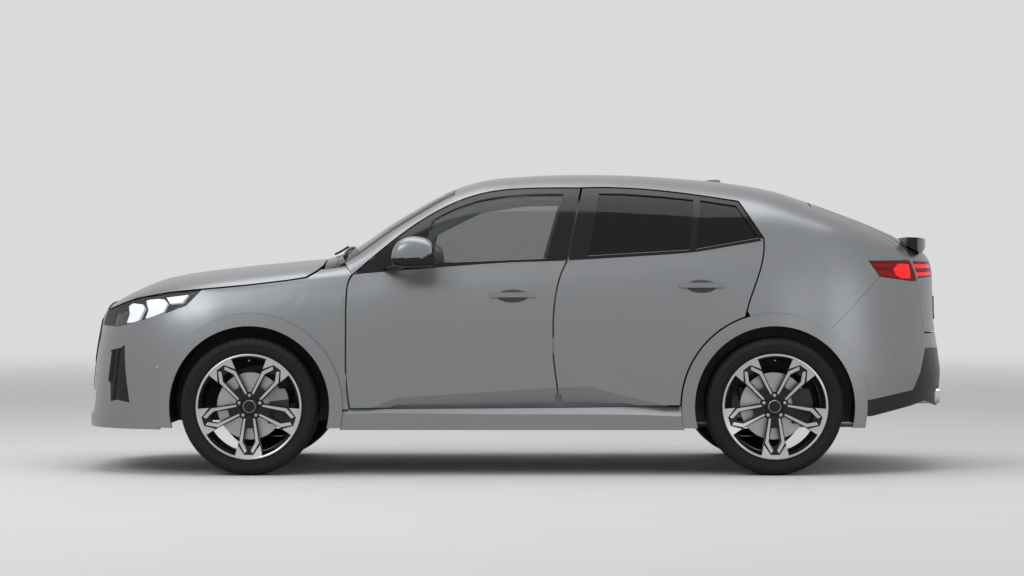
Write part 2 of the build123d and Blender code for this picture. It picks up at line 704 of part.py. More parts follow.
GRILLE_SLAB = nose_skin(14, 16)
with BuildPart() as grille:
    add(meet(GRILLE_SLAB, front_prism(GRILLE_OPENING, 1900, 2400, grow=-SEAM)))
    add(meet(GRILLE_SLAB, front_prism(LOWER_INTAKE, 1900, 2400, grow=-SEAM)))
    side_insert = meet(GRILLE_SLAB, front_prism(SIDE_INTAKE, 1900, 2400, grow=-SEAM))
    add(side_insert)
    add(flip(side_insert))
save(grille, "grille")

# Side frames: pillars, roof rails and rear quarters
FRAME_FLARE = arc_points(REAR_AXLE_X, FLARE_R + SEAM, 126.5, 75, 10)
QUARTER = polygon(
    (847, 1033), (902, 1113), (940, 1113), (940, 1600), (-2300, 1600), (-2300, 1107), (-1822, 1101),
    (-1883, 1018), (-1632, 768),
)[:-1] + [[(-1632, 768), FRAME_FLARE[0]], FRAME_FLARE] + polygon(
    FRAME_FLARE[-1], (-1150, 900), (-300, 1200), (800, 1005), (847, 1033))[:-1]
RING = polygon(
    (925, 250), (925, 1000), (860, 1060), (700, 1200), (450, 1360), (200, 1465), (-60, 1495), (-550, 1497),
    (-960, 1455), (-1260, 1405), (-1330, 1220), (-1290, 1000), (-1150, 890), (-980, 810), (-850, 690),
    (-790, 560), (-780, 250),
)
FRONT_APERTURE = polygon(
    (765, 410), (770, 930), (720, 1020), (600, 1150), (420, 1275), (190, 1385), (-60, 1422), (-245, 1425),
    (-150, 1090), (-110, 900), (-110, 410),
)
REAR_APERTURE = polygon(
    (-280, 410), (-265, 900), (-335, 1090), (-415, 1425), (-560, 1425), (-745, 1410), (-950, 1385),
    (-1090, 1355), (-1195, 1215), (-1160, 1050), (-1090, 930), (-930, 850), (-800, 740), (-735, 600),
    (-725, 410),
)
TAIL_CORNER = meet(TAIL_SLAB, block(-2400, TAIL_SPLIT_X, ROOF_EDGE_Y + SEAM, 900, 1107, 1300))
with BuildPart() as side_frame_left:
    add(meet(FRAME_SLAB, side_prism(QUARTER), block(TAIL_SPLIT_X, FAR, 0, FAR, 0, FAR)))
    add(TAIL_CORNER)
    add(side_prism(FRONT_DOOR, grow=GAP), mode=Mode.SUBTRACT)
    add(side_prism(REAR_DOOR, grow=GAP), mode=Mode.SUBTRACT)
    ring = less(meet(RING_SLAB, side_prism(RING)), side_prism(FRONT_APERTURE), side_prism(REAR_APERTURE))
    add(ring)
    add(block(-775, 900, 702, 775, 262, 340))
    add(block(REAR_HINGE_X - 1.5, REAR_HINGE_X + 1.5, 770, DOOR_HINGE_Y, *REAR_HINGE_Z))
    pin_low, pin_high = ((REAR_HINGE_X, DOOR_HINGE_Y, z) for z in REAR_HINGE_Z)
    add(rod(pin_low, pin_high, DOOR_PIN_R))
    add(plan_prism(CANOPY_PLAN), mode=Mode.SUBTRACT)
    add(wheel_drum(REAR_AXLE_X, LINER_R + LINER_WALL + 2, 400, 1000), mode=Mode.SUBTRACT)
with BuildPart() as side_frame_right:
    mirror(side_frame_left.part, about=Plane.XZ)
save(side_frame_left, "side_frame_left")
save(side_frame_right, "side_frame_right")

# Side skirts
SKIRT = polygon((904, BODY_BOTTOM), (889, 337), (-216, 344), (-845, 352), (-860, BODY_BOTTOM))
SKIRT_BEVEL = polygon((862, 360), (900, 302), (1000, 302), (1000, 360))
with BuildPart() as side_skirts:
    add(meet(PANEL_SLAB, side_prism(SKIRT)))
    for axle_x in (FRONT_AXLE_X, REAR_AXLE_X):
        add(wheel_drum(axle_x, FLARE_R + SEAM, 500, 1000), mode=Mode.SUBTRACT)
    add(front_prism(SKIRT_BEVEL, -900, 950), mode=Mode.SUBTRACT)
    mirror(about=Plane.XZ)
save(side_skirts, "side_skirts")


# Wheel arch flares
def flare(slab, axle_x):
    """Ring of trim round one arch, open at the bottom."""
    ring = less(wheel_drum(axle_x, FLARE_R, 700, 1000), wheel_drum(axle_x, ARCH_R, 600, 1100))
    return less(meet(slab, ring), block(axle_x - 600, axle_x + 600, 500, 1100, 0, BODY_BOTTOM + 10))


with BuildPart() as arch_flares:
    add(flare(FLARE_FRONT, FRONT_AXLE_X))
    add(flare(FLARE_REAR, REAR_AXLE_X))
    mirror(about=Plane.XZ)
save(arch_flares, "arch_flares")

# Tail: bumper cover, lower valance, lamps, tailgate
TAIL_FLARE = arc_points(REAR_AXLE_X, FLARE_R + SEAM, 126.5, 186.2, 12)
REAR_BUMPER = polygon(
    TAIL_FLARE[0], (-1633, 767), (-1884, 1017), (-2071, 994), (-2350, 1006), (-2350, 300),
    TAIL_FLARE[-1])[:-1]
REAR_BUMPER.append(list(reversed(TAIL_FLARE)))
VALANCE = polygon(
    (-1700, 362), (-2060, 430), (-2105, 518), (-2140, 644), (-2350, 644), (-2350, 296), (-2130, 372),
    (-2060, 352), (-1805, 296), (-1700, 296),
)
UNDER_BUMPER = polygon(
    (-1700, 362), (-2060, 430), (-2105, 518), (-2140, 644), (-2450, 644), (-2450, 100), (-1700, 100))
TAIL_LAMP = polygon((-1823, 1100), (-2350, 1106), (-2350, 1008), (-2071, 995), (-1883, 1018))
LAMP_SPLIT_Y = HATCH_HALF_WIDTH + GAP
HATCH_BOTTOM = 730.0
with BuildPart() as rear_bumper:
    add(meet(TAIL_BAND, side_prism(REAR_BUMPER, -1200, 1200)))
    add(side_prism(UNDER_BUMPER, -1200, 1200, grow=SEAM), mode=Mode.SUBTRACT)
    add(block(-2500, -1900, -LAMP_SPLIT_Y, LAMP_SPLIT_Y, HATCH_BOTTOM - GAP, 1300), mode=Mode.SUBTRACT)
save(rear_bumper, "rear_bumper")
TIP_Y, TIP_Z, TIP_R = 430.0, 392.0, 44.0
TIP_ROOM = 6.0
with BuildPart() as rear_valance:
    add(meet(TAIL_BAND, side_prism(VALANCE, -1200, 1200), side_prism(REAR_BUMPER, -1200, 1200)))
    for tip_y in (-TIP_Y, TIP_Y):
        add(rod((-1900, tip_y, TIP_Z), (-2400, tip_y, TIP_Z), TIP_R + TIP_ROOM), mode=Mode.SUBTRACT)
save(rear_valance, "rear_valance")
with BuildPart() as tail_lamps:
    add(meet(TAIL_BAND, side_prism(TAIL_LAMP, LAMP_SPLIT_Y, 1200)))
    mirror(about=Plane.XZ)
save(tail_lamps, "tail_lamps")

HATCH_PLAN = polygon(
    (HATCH_FRONT_X, -HATCH_HALF_WIDTH), (HATCH_FRONT_X, HATCH_HALF_WIDTH), (-2400, HATCH_HALF_WIDTH),
    (-2400, -HATCH_HALF_WIDTH),
)
HATCH_GLASS = polygon((-1580, -500), (-1580, 500), (-2040, 520), (-2040, -520))
HATCH_LAMP = polygon((225, 1098), (546, 1098), (546, 1012), (300, 1024))
with BuildPart() as tailgate:
    add(meet(UPPER_ROOF, plan_prism(HATCH_PLAN, TAIL_SPLIT_Z)))
    add(meet(TAIL_SLAB, block(-2400, -1900, -HATCH_HALF_WIDTH, HATCH_HALF_WIDTH, HATCH_BOTTOM, TAIL_SPLIT_Z)))
    add(plan_prism(HATCH_GLASS), mode=Mode.SUBTRACT)
    pocket = front_prism(HATCH_LAMP, -2400, -2000, grow=SEAM)
    for cutter in (pocket, flip(pocket)):
        add(cutter, mode=Mode.SUBTRACT)
save(tailgate, "tailgate")
with BuildPart() as tailgate_glass:
    add(meet(UPPER_GLASS, plan_prism(HATCH_GLASS, grow=-GLASS_SEAM)))
save(tailgate_glass, "tailgate_glass")
with BuildPart() as tailgate_lamps:
    add(meet(TAIL_SLAB, front_prism(HATCH_LAMP, -2400, -2000)))
    mirror(about=Plane.XZ)
save(tailgate_lamps, "tailgate_lamps")
SPOILER = polygon(
    (-2050, 1226), (-2110, 1224), (-2203, 1219), (-2201, 1211), (-2177, 1171), (-2130, 1140), (-2050, 1180))
SPOILER_PLAN = [
    [(-2105, -550), (-2180, -340), (-2203, 0), (-2180, 340), (-2105, 550)],
    [(-2105, 550), (-1950, 550)],
    [(-1950, 550), (-1950, -550)],
    [(-1950, -550), (-2105, -550)],
]
SPOILER_HALF_WIDTH = HATCH_HALF_WIDTH - 5
with BuildPart() as spoiler:
    add(side_prism(SPOILER, -SPOILER_HALF_WIDTH, SPOILER_HALF_WIDTH))
    add(plan_prism(SPOILER_PLAN), mode=Mode.INTERSECT)
    add(upper_skin(90, -GLASS_SEAM), mode=Mode.SUBTRACT)
    add(tail_skin(90, -GLASS_SEAM), mode=Mode.SUBTRACT)
save(spoiler, "spoiler")

# Floor, firewall, wheel houses, crash beams and jacking pads
JACK_PAD_Z = 236.0
with BuildPart() as floor_pan:
    add(block(-960, 955, -702, 702, 262, 282))
    add(block(935, 955, -640, 640, 262, 1000))
    add(block(-980, -960, -640, 640, 262, 570))
    add(block(-2035, -960, -634, 634, 550, 570))
    add(block(2035, 2085, -480, 480, 430, 530))
    add(block(-2090, -2040, -500, 500, 460, 560))
    for side in (-1, 1):
        add(block(940, 2050, side * 440 - 30, side * 440 + 30, 430, 530))
        add(block(-2050, -960, side * 520 - 30, side * 520 + 30, 460, 552))
        for x in (760, -700):
            add(block(x - 45, x + 45, side * 640 - 30, side * 640 + 30, JACK_PAD_Z, 270))
        for axle_x, wall, lip in ((FRONT_AXLE_X, 458, 815), (REAR_AXLE_X, 634, 838)):
            add(wheel_drum(axle_x, LINER_R + LINER_WALL, side * (wall - 6), side * lip))
            add(wheel_drum(axle_x, LINER_R, side * wall, side * 900), mode=Mode.SUBTRACT)
            low = block(axle_x - 600, axle_x + 600, *sorted((side * (wall - 7), side * 900)), -200, 261)
            add(low, mode=Mode.SUBTRACT)
            add(wheel_drum(axle_x, 200, side * (wall - 60), side * 640), mode=Mode.SUBTRACT)
save(floor_pan, "floor_pan")

# Drive unit, one block on the subframe
with BuildPart() as engine:
    add(block(1140, 1720, -270, 270, 420, 900))
save(engine, "engine")


def wheel_profile(points):
    """Solid of revolution about the Y axis, from (radius, Y) points."""
    with BuildPart() as solid:
        with BuildSketch(Plane.XY):
            with BuildLine():
                Polyline(*points, close=True)
            make_face()
        revolve(axis=Axis.Y)
    return solid.part


half = TYRE_WIDTH / 2
bead = RIM_WIDTH / 2
TYRE = wheel_profile([
    (RIM_SEAT_R, -bead), (RIM_FLANGE_R + 2, -bead), (290, -half + 4), (310, -half), (335, -half + 5),
    (347, -half + 17), (TYRE_R, -half + 45), (TYRE_R, half - 45), (347, half - 17), (335, half - 5),
    (310, half), (290, half - 4), (RIM_FLANGE_R + 2, bead), (RIM_SEAT_R, bead),
])
RIM_BARREL = wheel_profile([
    (RIM_SEAT_R, -bead), (RIM_FLANGE_R, -bead), (RIM_FLANGE_R, -bead - 7), (RIM_SEAT_R - 12, -bead - 7),
    (RIM_SEAT_R - 14, bead + 7), (RIM_FLANGE_R, bead + 7), (RIM_FLANGE_R, bead), (RIM_SEAT_R, bead),
])
with BuildPart() as rim_shape:
    add(RIM_BARREL)
    add(rod((0, RIM_FACE_OFFSET, 0), (0, RIM_FACE_OFFSET + 42, 0), 78))
    for k in range(SPOKE_COUNT):
        for lean_angle in (-11, 11):
            turn = 90 + 360 / SPOKE_COUNT * k + lean_angle
            spoke = less(
                block(40, RIM_SEAT_R - 4, RIM_FACE_OFFSET + 14, RIM_FACE_OFFSET + 48, -13, 13),
                block(40, 60, 0, 200, -50, 50),
            )
            add(Rotation(0, -turn, 0) * spoke)
    for k in range(BOLT_COUNT):
        angle = np.radians(90 + 36 + 72 * k)
        bx, bz = BOLT_CIRCLE_R * np.cos(angle), BOLT_CIRCLE_R * np.sin(angle)
        add(rod((bx, RIM_FACE_OFFSET + 12, bz), (bx, 200, bz), 13), mode=Mode.SUBTRACT)
RIM = rim_shape.part
with BuildPart() as disc_shape:
    add(rod((0, RIM_FACE_OFFSET - 52, 0), (0, RIM_FACE_OFFSET - 52 + DISC_THICK, 0), DISC_R))
    add(rod((0, RIM_FACE_OFFSET - 52, 0), (0, RIM_FACE_OFFSET, 0), 84))
    add(rod((0, -75, 0), (0, -11, 0), HUB_R))
DISC = disc_shape.part

CORNERS = (
    ("front_left", FRONT_AXLE_X, 1), ("front_right", FRONT_AXLE_X, -1),
    ("rear_left", REAR_AXLE_X, 1), ("rear_right", REAR_AXLE_X, -1),
)
for corner, axle_x, side in CORNERS:
    for kind, shape in (("tyre", TYRE), ("rim", RIM), ("brake_disc", DISC)):
        place = Location((axle_x, WHEEL_Y, AXLE_Z))
        with BuildPart() as turning_piece:
            add(place * shape if side > 0 else flip(place * shape))
        save(turning_piece, f"{kind}_{corner}")

# Knuckles, which steer with the front wheels, each with its caliper
KINGPIN_Y = WHEEL_Y - KINGPIN_INSET


def caliper(axle_x):
    """Brake caliper over the rear edge of the disc."""
    whole = less(
        wheel_drum(axle_x, DISC_R + 28, WHEEL_Y - 45, WHEEL_Y + 34),
        wheel_drum(axle_x, 100, 600, 900),
        wheel_drum(axle_x, DISC_R + 5, WHEEL_Y - 17, WHEEL_Y + 21),
    )
    return meet(whole, block(axle_x - 300, axle_x - 92, 600, 900, AXLE_Z - 90, AXLE_Z + 90))


def carrier(axle_x):
    """Bearing housing with the caliper bracket."""
    return less(
        join(
            wheel_drum(axle_x, 48, WHEEL_Y - 72, WHEEL_Y - 18),
            block(axle_x - 150, axle_x, WHEEL_Y - 60, WHEEL_Y - 32, AXLE_Z - 22, AXLE_Z + 22),
            caliper(axle_x),
        ),
        wheel_drum(axle_x, BEARING_R, 500, 900),
    )


with BuildPart() as knuckle_left:
    add(carrier(FRONT_AXLE_X))
    for way in (-1, 1):
        low, high = sorted((AXLE_Z + way * 30, AXLE_Z + way * 165))
        post = rod((FRONT_AXLE_X, KINGPIN_Y, low), (FRONT_AXLE_X, KINGPIN_Y, high), KINGPIN_R)
        add(post)
        neck = sorted((AXLE_Z + way * 30, AXLE_Z + way * 118))
        add(block(FRONT_AXLE_X - 20, FRONT_AXLE_X + 20, KINGPIN_Y - 16, KINGPIN_Y + 16, *neck))
    add(wheel_drum(FRONT_AXLE_X, BEARING_R, 500, 900), mode=Mode.SUBTRACT)
with BuildPart() as knuckle_right:
    mirror(knuckle_left.part, about=Plane.XZ)
save(knuckle_left, "knuckle_left")
save(knuckle_right, "knuckle_right")


def arm(x, y0, y1, z):
    """Flat suspension arm with an eye at its outer end."""
    eye = rod((x, y1, z - 16), (x, y1, z + 16), 24)
    return join(eye, block(x - 22, x + 22, y0, y1, z - 12, z + 12))


with BuildPart() as front_subframe:
    add(block(1200, 1560, -440, 440, 300, 340))
    for side in (-1, 1):
        for x in (1215, 1545):
            add(block(x - 15, x + 15, *sorted((side * 412, side * 440)), 330, 430))
    add(block(1240, 1500, -260, 260, 330, 420))
    for side in (-1, 1):
        for z in (AXLE_Z - 140, AXLE_Z + 140):
            arm_left = less(arm(FRONT_AXLE_X, 300, KINGPIN_Y, z), rod(
                (FRONT_AXLE_X, KINGPIN_Y, z - 30), (FRONT_AXLE_X, KINGPIN_Y, z + 30), KINGPIN_R + 0.3))
            add(arm_left if side > 0 else flip(arm_left))
        add(block(FRONT_AXLE_X - 30, FRONT_AXLE_X + 30, side * 300, side * 360, AXLE_Z - 152, AXLE_Z + 152))
save(front_subframe, "front_subframe")

with BuildPart() as rear_axle:
    add(block(REAR_AXLE_X - 60, REAR_AXLE_X + 60, -560, 560, 320, 400))
    add(block(REAR_AXLE_X - 30, REAR_AXLE_X + 30, -460, 460, 400, 460))
    for side in (-1, 1):
        left = join(carrier(REAR_AXLE_X), less(
            wheel_drum(REAR_AXLE_X, 40, 540, WHEEL_Y - 60), wheel_drum(REAR_AXLE_X, BEARING_R, 690, 900)))
        add(left if side > 0 else flip(left))
        add(block(REAR_AXLE_X - 40, REAR_AXLE_X + 40, side * 490, side * 550, 395, 460))
save(rear_axle, "rear_axle")

# Exhaust under the floor
with BuildPart() as exhaust:
    add(rod((900, 0, 226), (-1850, 0, 226), 26))
    add(rod((-1850, 0, 215), (-1850, 0, 345), 26))
    add(block(-2030, -1800, -470, 470, 330, 450))
    for x in (700, -800):
        add(block(x - 10, x + 10, -10, 10, 240, 262))
    for side in (-1, 1):
        add(rod((-1950, side * TIP_Y, TIP_Z), (-2235, side * TIP_Y, TIP_Z), TIP_R))
        add(rod((-2100, side * TIP_Y, TIP_Z), (-2236, side * TIP_Y, TIP_Z), TIP_R - 4), mode=Mode.SUBTRACT)
        add(block(-1960, -1940, side * 300 - 10, side * 300 + 10, 440, 550))
save(exhaust, "exhaust")

# Cabin
with BuildPart() as dashboard:
    add(block(640, 935, -640, 640, 720, 1000))
save(dashboard, "dashboard")


def seat(y, width):
    """Front seat on its base."""
    return join(
        block(-150, 230, y - 180, y + 180, 282, 420),
        block(-210, 290, y - width / 2, y + width / 2, 400, 540),
        prism(Plane.XZ.offset(-(y + width / 2 - 15)), polygon(
            (-90, 480), (-210, 480), (-400, 1090), (-300, 1110)), width - 30),
        prism(Plane.XZ.offset(-(y + 130)), polygon(
            (-318, 1105), (-385, 1090), (-440, 1280), (-340, 1290)), 260),
    )


SEAT_Y = 370.0
SEAT_WIDTH = 500.0
with BuildPart() as front_seats:
    add(seat(SEAT_Y, SEAT_WIDTH))
    mirror(about=Plane.XZ)
save(front_seats, "front_seats")
BENCH_HALF_WIDTH = 600.0
BENCH_BACK = polygon((-840, 500), (-925, 500), (-1150, 1080), (-1050, 1100))
with BuildPart() as rear_bench:
    add(block(-958, -470, -BENCH_HALF_WIDTH, BENCH_HALF_WIDTH, 282, 520))
    add(side_prism(BENCH_BACK, -BENCH_HALF_WIDTH, BENCH_HALF_WIDTH))
save(rear_bench, "rear_bench")
HELM = Vector(470, SEAT_Y, 930)
HELM_WAY = Vector(1, 0, -0.42).normalized()


def helm(start, end, radius):
    """Round bar along the steering column, distances from the wheel's plane."""
    return rod(tuple(HELM + HELM_WAY * start), tuple(HELM + HELM_WAY * end), radius)


with BuildPart() as steering_wheel:
    add(less(helm(-14, 14, 190), helm(-30, 30, 162)))
    bars = Plane(origin=HELM, x_dir=(0, 1, 0), z_dir=HELM_WAY).location
    add(bars * block(-176, 176, -17, 17, -8, 8))
    add(bars * block(-20, 20, 0, 176, -8, 8))
    add(helm(-20, 30, 62))
    add(helm(0, 260, 30))
    add(block(640, 1000, 200, 600, 700, 1000), mode=Mode.SUBTRACT)
save(steering_wheel, "steering_wheel")
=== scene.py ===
"""Looks of the coupe sport utility vehicle: finishes, trim, lamps, wheels, cabin and a plain studio."""
import json
import math

import bmesh
import bpy
import numpy as np
from mathutils import Matrix, Vector
from mathutils.bvhtree import BVHTree
from mathutils.geometry import delaunay_2d_cdt


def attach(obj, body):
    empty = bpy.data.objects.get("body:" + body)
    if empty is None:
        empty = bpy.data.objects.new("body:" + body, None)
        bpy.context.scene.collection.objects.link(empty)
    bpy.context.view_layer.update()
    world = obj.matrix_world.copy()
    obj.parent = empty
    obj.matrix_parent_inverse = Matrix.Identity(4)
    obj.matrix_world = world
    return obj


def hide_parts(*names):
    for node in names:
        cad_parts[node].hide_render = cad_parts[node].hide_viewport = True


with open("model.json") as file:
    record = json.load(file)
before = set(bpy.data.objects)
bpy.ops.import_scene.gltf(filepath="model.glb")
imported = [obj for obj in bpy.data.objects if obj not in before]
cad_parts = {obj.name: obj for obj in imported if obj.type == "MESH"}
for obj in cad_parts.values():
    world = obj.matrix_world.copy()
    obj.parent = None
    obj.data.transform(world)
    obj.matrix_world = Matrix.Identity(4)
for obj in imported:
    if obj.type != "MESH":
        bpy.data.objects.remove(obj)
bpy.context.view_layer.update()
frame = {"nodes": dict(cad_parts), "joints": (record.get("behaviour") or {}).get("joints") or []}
NODES = frame["nodes"]
JOINTS = {joint["name"]: joint for joint in frame["joints"]}
SCENE = bpy.context.scene
SIDES = (("left", 1), ("right", -1))
CORNERS = ("front_left", "front_right", "rear_left", "rear_right")

# Camera that took the photograph, in metres and pixels
CAMERA_AT = (0.022, 14.2, 0.959)
FOCAL_PIXELS = 2602.0
PHOTO_WIDTH = 1024.0
SENSOR_WIDTH = 36.0


# Materials
COLOUR_DETAIL, ROUGHNESS_DETAIL = 3.0, 4.0
NOISE_LOW, NOISE_HIGH = 0.3, 0.7
BUMP_STRENGTH = 0.6


def add(tree, kind, inputs=None, **settings):
    """New node with its settings and the values of some of its sockets."""
    node = tree.nodes.new("ShaderNode" + kind)
    for key, value in settings.items():
        setattr(node, key, value)
    for key, value in (inputs or {}).items():
        node.inputs[key].default_value = value
    return node


def wire(tree, *links):
    """Links, each given as a node, its output, another node and its input."""
    for source, output, target, entry in links:
        tree.links.new(source.outputs[output], target.inputs[entry])


def texture(tree, kind, **inputs):
    """Texture node in the piece's own coordinates; its Scale is per metre."""
    node = add(tree, kind, inputs)
    wire(tree, (add(tree, "TexCoord"), "Object", node, "Vector"))
    return node


def mottle(tree, scale, dark, light):
    """Base colour that wanders between two tones."""
    noise = texture(tree, "TexNoise", Scale=scale, Detail=COLOUR_DETAIL)
    mix = add(tree, "Mix", {"A": (*dark, 1), "B": (*light, 1)}, data_type="RGBA")
    wire(tree, (noise, "Fac", mix, "Factor"), (mix, "Result", tree.nodes["Principled BSDF"], "Base Color"))


def uneven(tree, scale, low, high):
    """Roughness that wanders between two values."""
    noise = texture(tree, "TexNoise", Scale=scale, Detail=ROUGHNESS_DETAIL)
    ends = {"From Min": NOISE_LOW, "From Max": NOISE_HIGH, "To Min": low, "To Max": high}
    spread = add(tree, "MapRange", ends)
    wire(tree, (noise, "Fac", spread, "Value"), (spread, "Result", tree.nodes["Principled BSDF"], "Roughness"))


def grain(tree, scale, depth, kind="TexNoise", output="Fac"):
    """Fine relief of a given depth in metres."""
    relief = texture(tree, kind, Scale=scale)
    bump = add(tree, "Bump", {"Strength": BUMP_STRENGTH, "Distance": depth})
    wire(tree, (relief, output, bump, "Height"), (bump, "Normal", tree.nodes["Principled BSDF"], "Normal"))


def shade(colour, amount):
    """The same colour, lighter or darker by a factor."""
    return tuple(min(1.0, c * amount) for c in colour)


def finished(name, colour, rough, metallic=0.0, spread=0.06, patch=9.0, relief=(1500.0, 0.00005), **inputs):
    """Material with mottled colour, uneven roughness and a fine grain; inputs have underscores for spaces."""
    material = bpy.data.materials.new(name)
    material.use_nodes = True
    tree = material.node_tree
    inputs.update(Base_Color=(*colour, 1), Roughness=rough, Metallic=metallic)
    for key, value in inputs.items():
        tree.nodes["Principled BSDF"].inputs[key.replace("_", " ")].default_value = value
    mottle(tree, patch, shade(colour, 1 - spread), shade(colour, 1 + spread))
    uneven(tree, patch * 3, rough * 0.9, rough * 1.12)
    grain(tree, *relief)
    return material


PAINT_GREY = (0.232, 0.24, 0.248)
PAINT = finished("paint", PAINT_GREY, 0.36, 0.72, spread=0.02, patch=700.0, relief=(2600.0, 0.00002),
                 Coat_Weight=0.35, Coat_Roughness=0.22)
GLOSS_BLACK = finished("gloss_black", (0.006, 0.006, 0.007), 0.12, relief=(900.0, 0.00001),
                       Specular_IOR_Level=0.3)
SATIN_BLACK = finished("satin_black", (0.014, 0.014, 0.016), 0.36, Specular_IOR_Level=0.3)
MOULDED = finished("moulded_black", (0.016, 0.016, 0.017), 0.6, relief=(1100.0, 0.0002),
                   Specular_IOR_Level=0.25)
CLEAR_GLASS = finished("clear_glass", (0.05, 0.058, 0.058), 0.03, relief=(6.0, 0.00002),
                       Alpha=0.36, Specular_IOR_Level=0.6)
DARK_GLASS = finished("dark_glass", (0.004, 0.005, 0.006), 0.03, relief=(6.0, 0.00002),
                      Alpha=0.9, Specular_IOR_Level=0.25)
LENS = finished("lamp_lens", (0.3, 0.31, 0.32), 0.03, relief=(40.0, 0.00002),
                Alpha=0.1, Specular_IOR_Level=0.5)
RED_LENS = finished("lamp_red", (0.2, 0.004, 0.006), 0.08, relief=(400.0, 0.0001),
                    Alpha=0.55, Specular_IOR_Level=0.35)
LED_WHITE = finished("led_white", (0.72, 0.74, 0.77), 0.3, relief=(600.0, 0.0001),
                     Emission_Color=(0.93, 0.96, 1.0, 1), Emission_Strength=0.45)
LED_RED = finished("led_red", (0.9, 0.02, 0.02), 0.3, relief=(600.0, 0.0001),
                   Emission_Color=(1.0, 0.012, 0.02, 1), Emission_Strength=5.0)
LED_DIM = finished("led_dim", (0.5, 0.01, 0.012), 0.3, relief=(600.0, 0.0001),
                   Emission_Color=(1.0, 0.012, 0.012, 1), Emission_Strength=0.32)
REFLECTOR = finished("reflector", (0.62, 0.63, 0.65), 0.16, 1.0, relief=(300.0, 0.0002))
MACHINED = finished("machined_alloy", (0.5, 0.505, 0.515), 0.3, 0.9, relief=(2200.0, 0.00003))
WHEEL_BLACK = finished("wheel_black", (0.007, 0.007, 0.008), 0.24, relief=(1200.0, 0.00003),
                       Specular_IOR_Level=0.3)
RUBBER = finished("rubber", (0.0095, 0.0095, 0.01), 0.7, relief=(1300.0, 0.00018), spread=0.15, patch=24.0,
                  Specular_IOR_Level=0.22)
STEEL = finished("bare_steel", (0.42, 0.42, 0.43), 0.34, 0.95, relief=(900.0, 0.00006))
CHROME = finished("polished_steel", (0.62, 0.62, 0.63), 0.1, 1.0, relief=(700.0, 0.00001))
CAST = finished("cast_alloy", (0.3, 0.305, 0.31), 0.55, 0.85, relief=(700.0, 0.0004))
COATED = finished("coated_steel", (0.02, 0.02, 0.022), 0.55, relief=(800.0, 0.0003))
CABIN = finished("cabin_plastic", (0.03, 0.03, 0.032), 0.62,
                 relief=(900.0, 0.0004, "TexVoronoi", "Distance"))
LINING = finished("headliner", (0.2, 0.2, 0.198), 0.95, relief=(2400.0, 0.0005), Sheen_Weight=0.3)
CARPET = finished("carpet", (0.022, 0.022, 0.023), 0.98, spread=0.3, patch=900.0, relief=(1500.0, 0.0012))
LEATHER = finished("seat_leather", (0.035, 0.033, 0.032), 0.48, spread=0.12, patch=30.0,
                   relief=(520.0, 0.0006, "TexVoronoi", "Distance"))
STITCH = finished("stitching", (0.3, 0.3, 0.3), 0.8, relief=(900.0, 0.0004))
SCREEN = finished("display", (0.008, 0.01, 0.014), 0.08, relief=(60.0, 0.00001), Coat_Weight=1.0)
PLATE_WHITE = finished("plate", (0.72, 0.72, 0.7), 0.42, spread=0.03, relief=(500.0, 0.0001))
MIRROR = finished("mirror_glass", (0.82, 0.84, 0.86), 0.02, 1.0, relief=(5.0, 0.000004))
FLOOR = finished("studio_floor", (0.56, 0.557, 0.55), 0.75, spread=0.03, patch=1.4, relief=(60.0, 0.0006))


# Mesh helpers. A part is (verts, faces), and has a third entry in a piece of several materials:
# the number of its material, or a list with one for each face.
CRISP, ROUND, PADDED = 30, 40, 60    # degrees past which an edge of a piece stays sharp
WELD = 2e-5


def put(name, data):
    """New object in the scene."""
    thing = bpy.data.objects.new(name, data)
    SCENE.collection.objects.link(thing)
    return thing


def make(name, parts, materials, sharp=ROUND, body="body"):
    """Piece made of parts, with one material or a list of them, that rides on a body."""
    verts, faces, index = [], [], []
    for part in parts:
        part_verts, part_faces, number = (*part, 0)[:3]
        base = len(verts)
        verts += [tuple(v) for v in part_verts]
        faces += [tuple(i + base for i in f) for f in part_faces]
        index += number if isinstance(number, list) else [number] * len(part_faces)
    mesh = bpy.data.meshes.new(name)
    mesh.from_pydata(verts, [], faces)
    for material in materials if isinstance(materials, list) else [materials]:
        mesh.materials.append(material)
    mesh.polygons.foreach_set("material_index", index)
    shaped = bmesh.new()
    shaped.from_mesh(mesh)
    bmesh.ops.recalc_face_normals(shaped, faces=shaped.faces)
    shaped.to_mesh(mesh)
    shaped.free()
    mesh.shade_smooth()
    mesh.set_sharp_from_angle(angle=math.radians(sharp))
    piece = put(name, mesh)
    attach(piece, body)
    return piece


def smooth(points, count=8):
    """Rounded run through points, with count steps between two of them."""
    points = [np.array(p, float) for p in points]
    padded = [2 * points[0] - points[1]] + points + [2 * points[-1] - points[-2]]
    run = []
    for a, b, c, d in zip(padded, padded[1:], padded[2:], padded[3:]):
        for t in np.arange(count) / count:
            run.append(0.5 * (2 * b + (c - a) * t + (2 * a - 5 * b + 4 * c - d) * t ** 2
                              + (3 * b - a - 3 * c + d) * t ** 3))
    return [tuple(p) for p in run] + [tuple(points[-1])]


def inset(loop, amount):
    """Outline moved inwards by an amount, or outwards for a negative one."""
    corners = np.array(loop, float)
    before, after = corners - np.roll(corners, 1, 0), np.roll(corners, -1, 0) - corners
    turn = np.sign(np.sum(corners[:, 0] * after[:, 1] - corners[:, 1] * after[:, 0]))
    normals = []
    for way in (before, after):
        way = way / np.maximum(np.linalg.norm(way, axis=1), 1e-9)[:, None]
        normals.append(turn * np.stack([way[:, 1], -way[:, 0]], 1))
    lean = np.maximum(1 + np.sum(normals[0] * normals[1], 1), 0.35)
    return [tuple(p) for p in corners - amount * (normals[0] + normals[1]) / lean[:, None]]


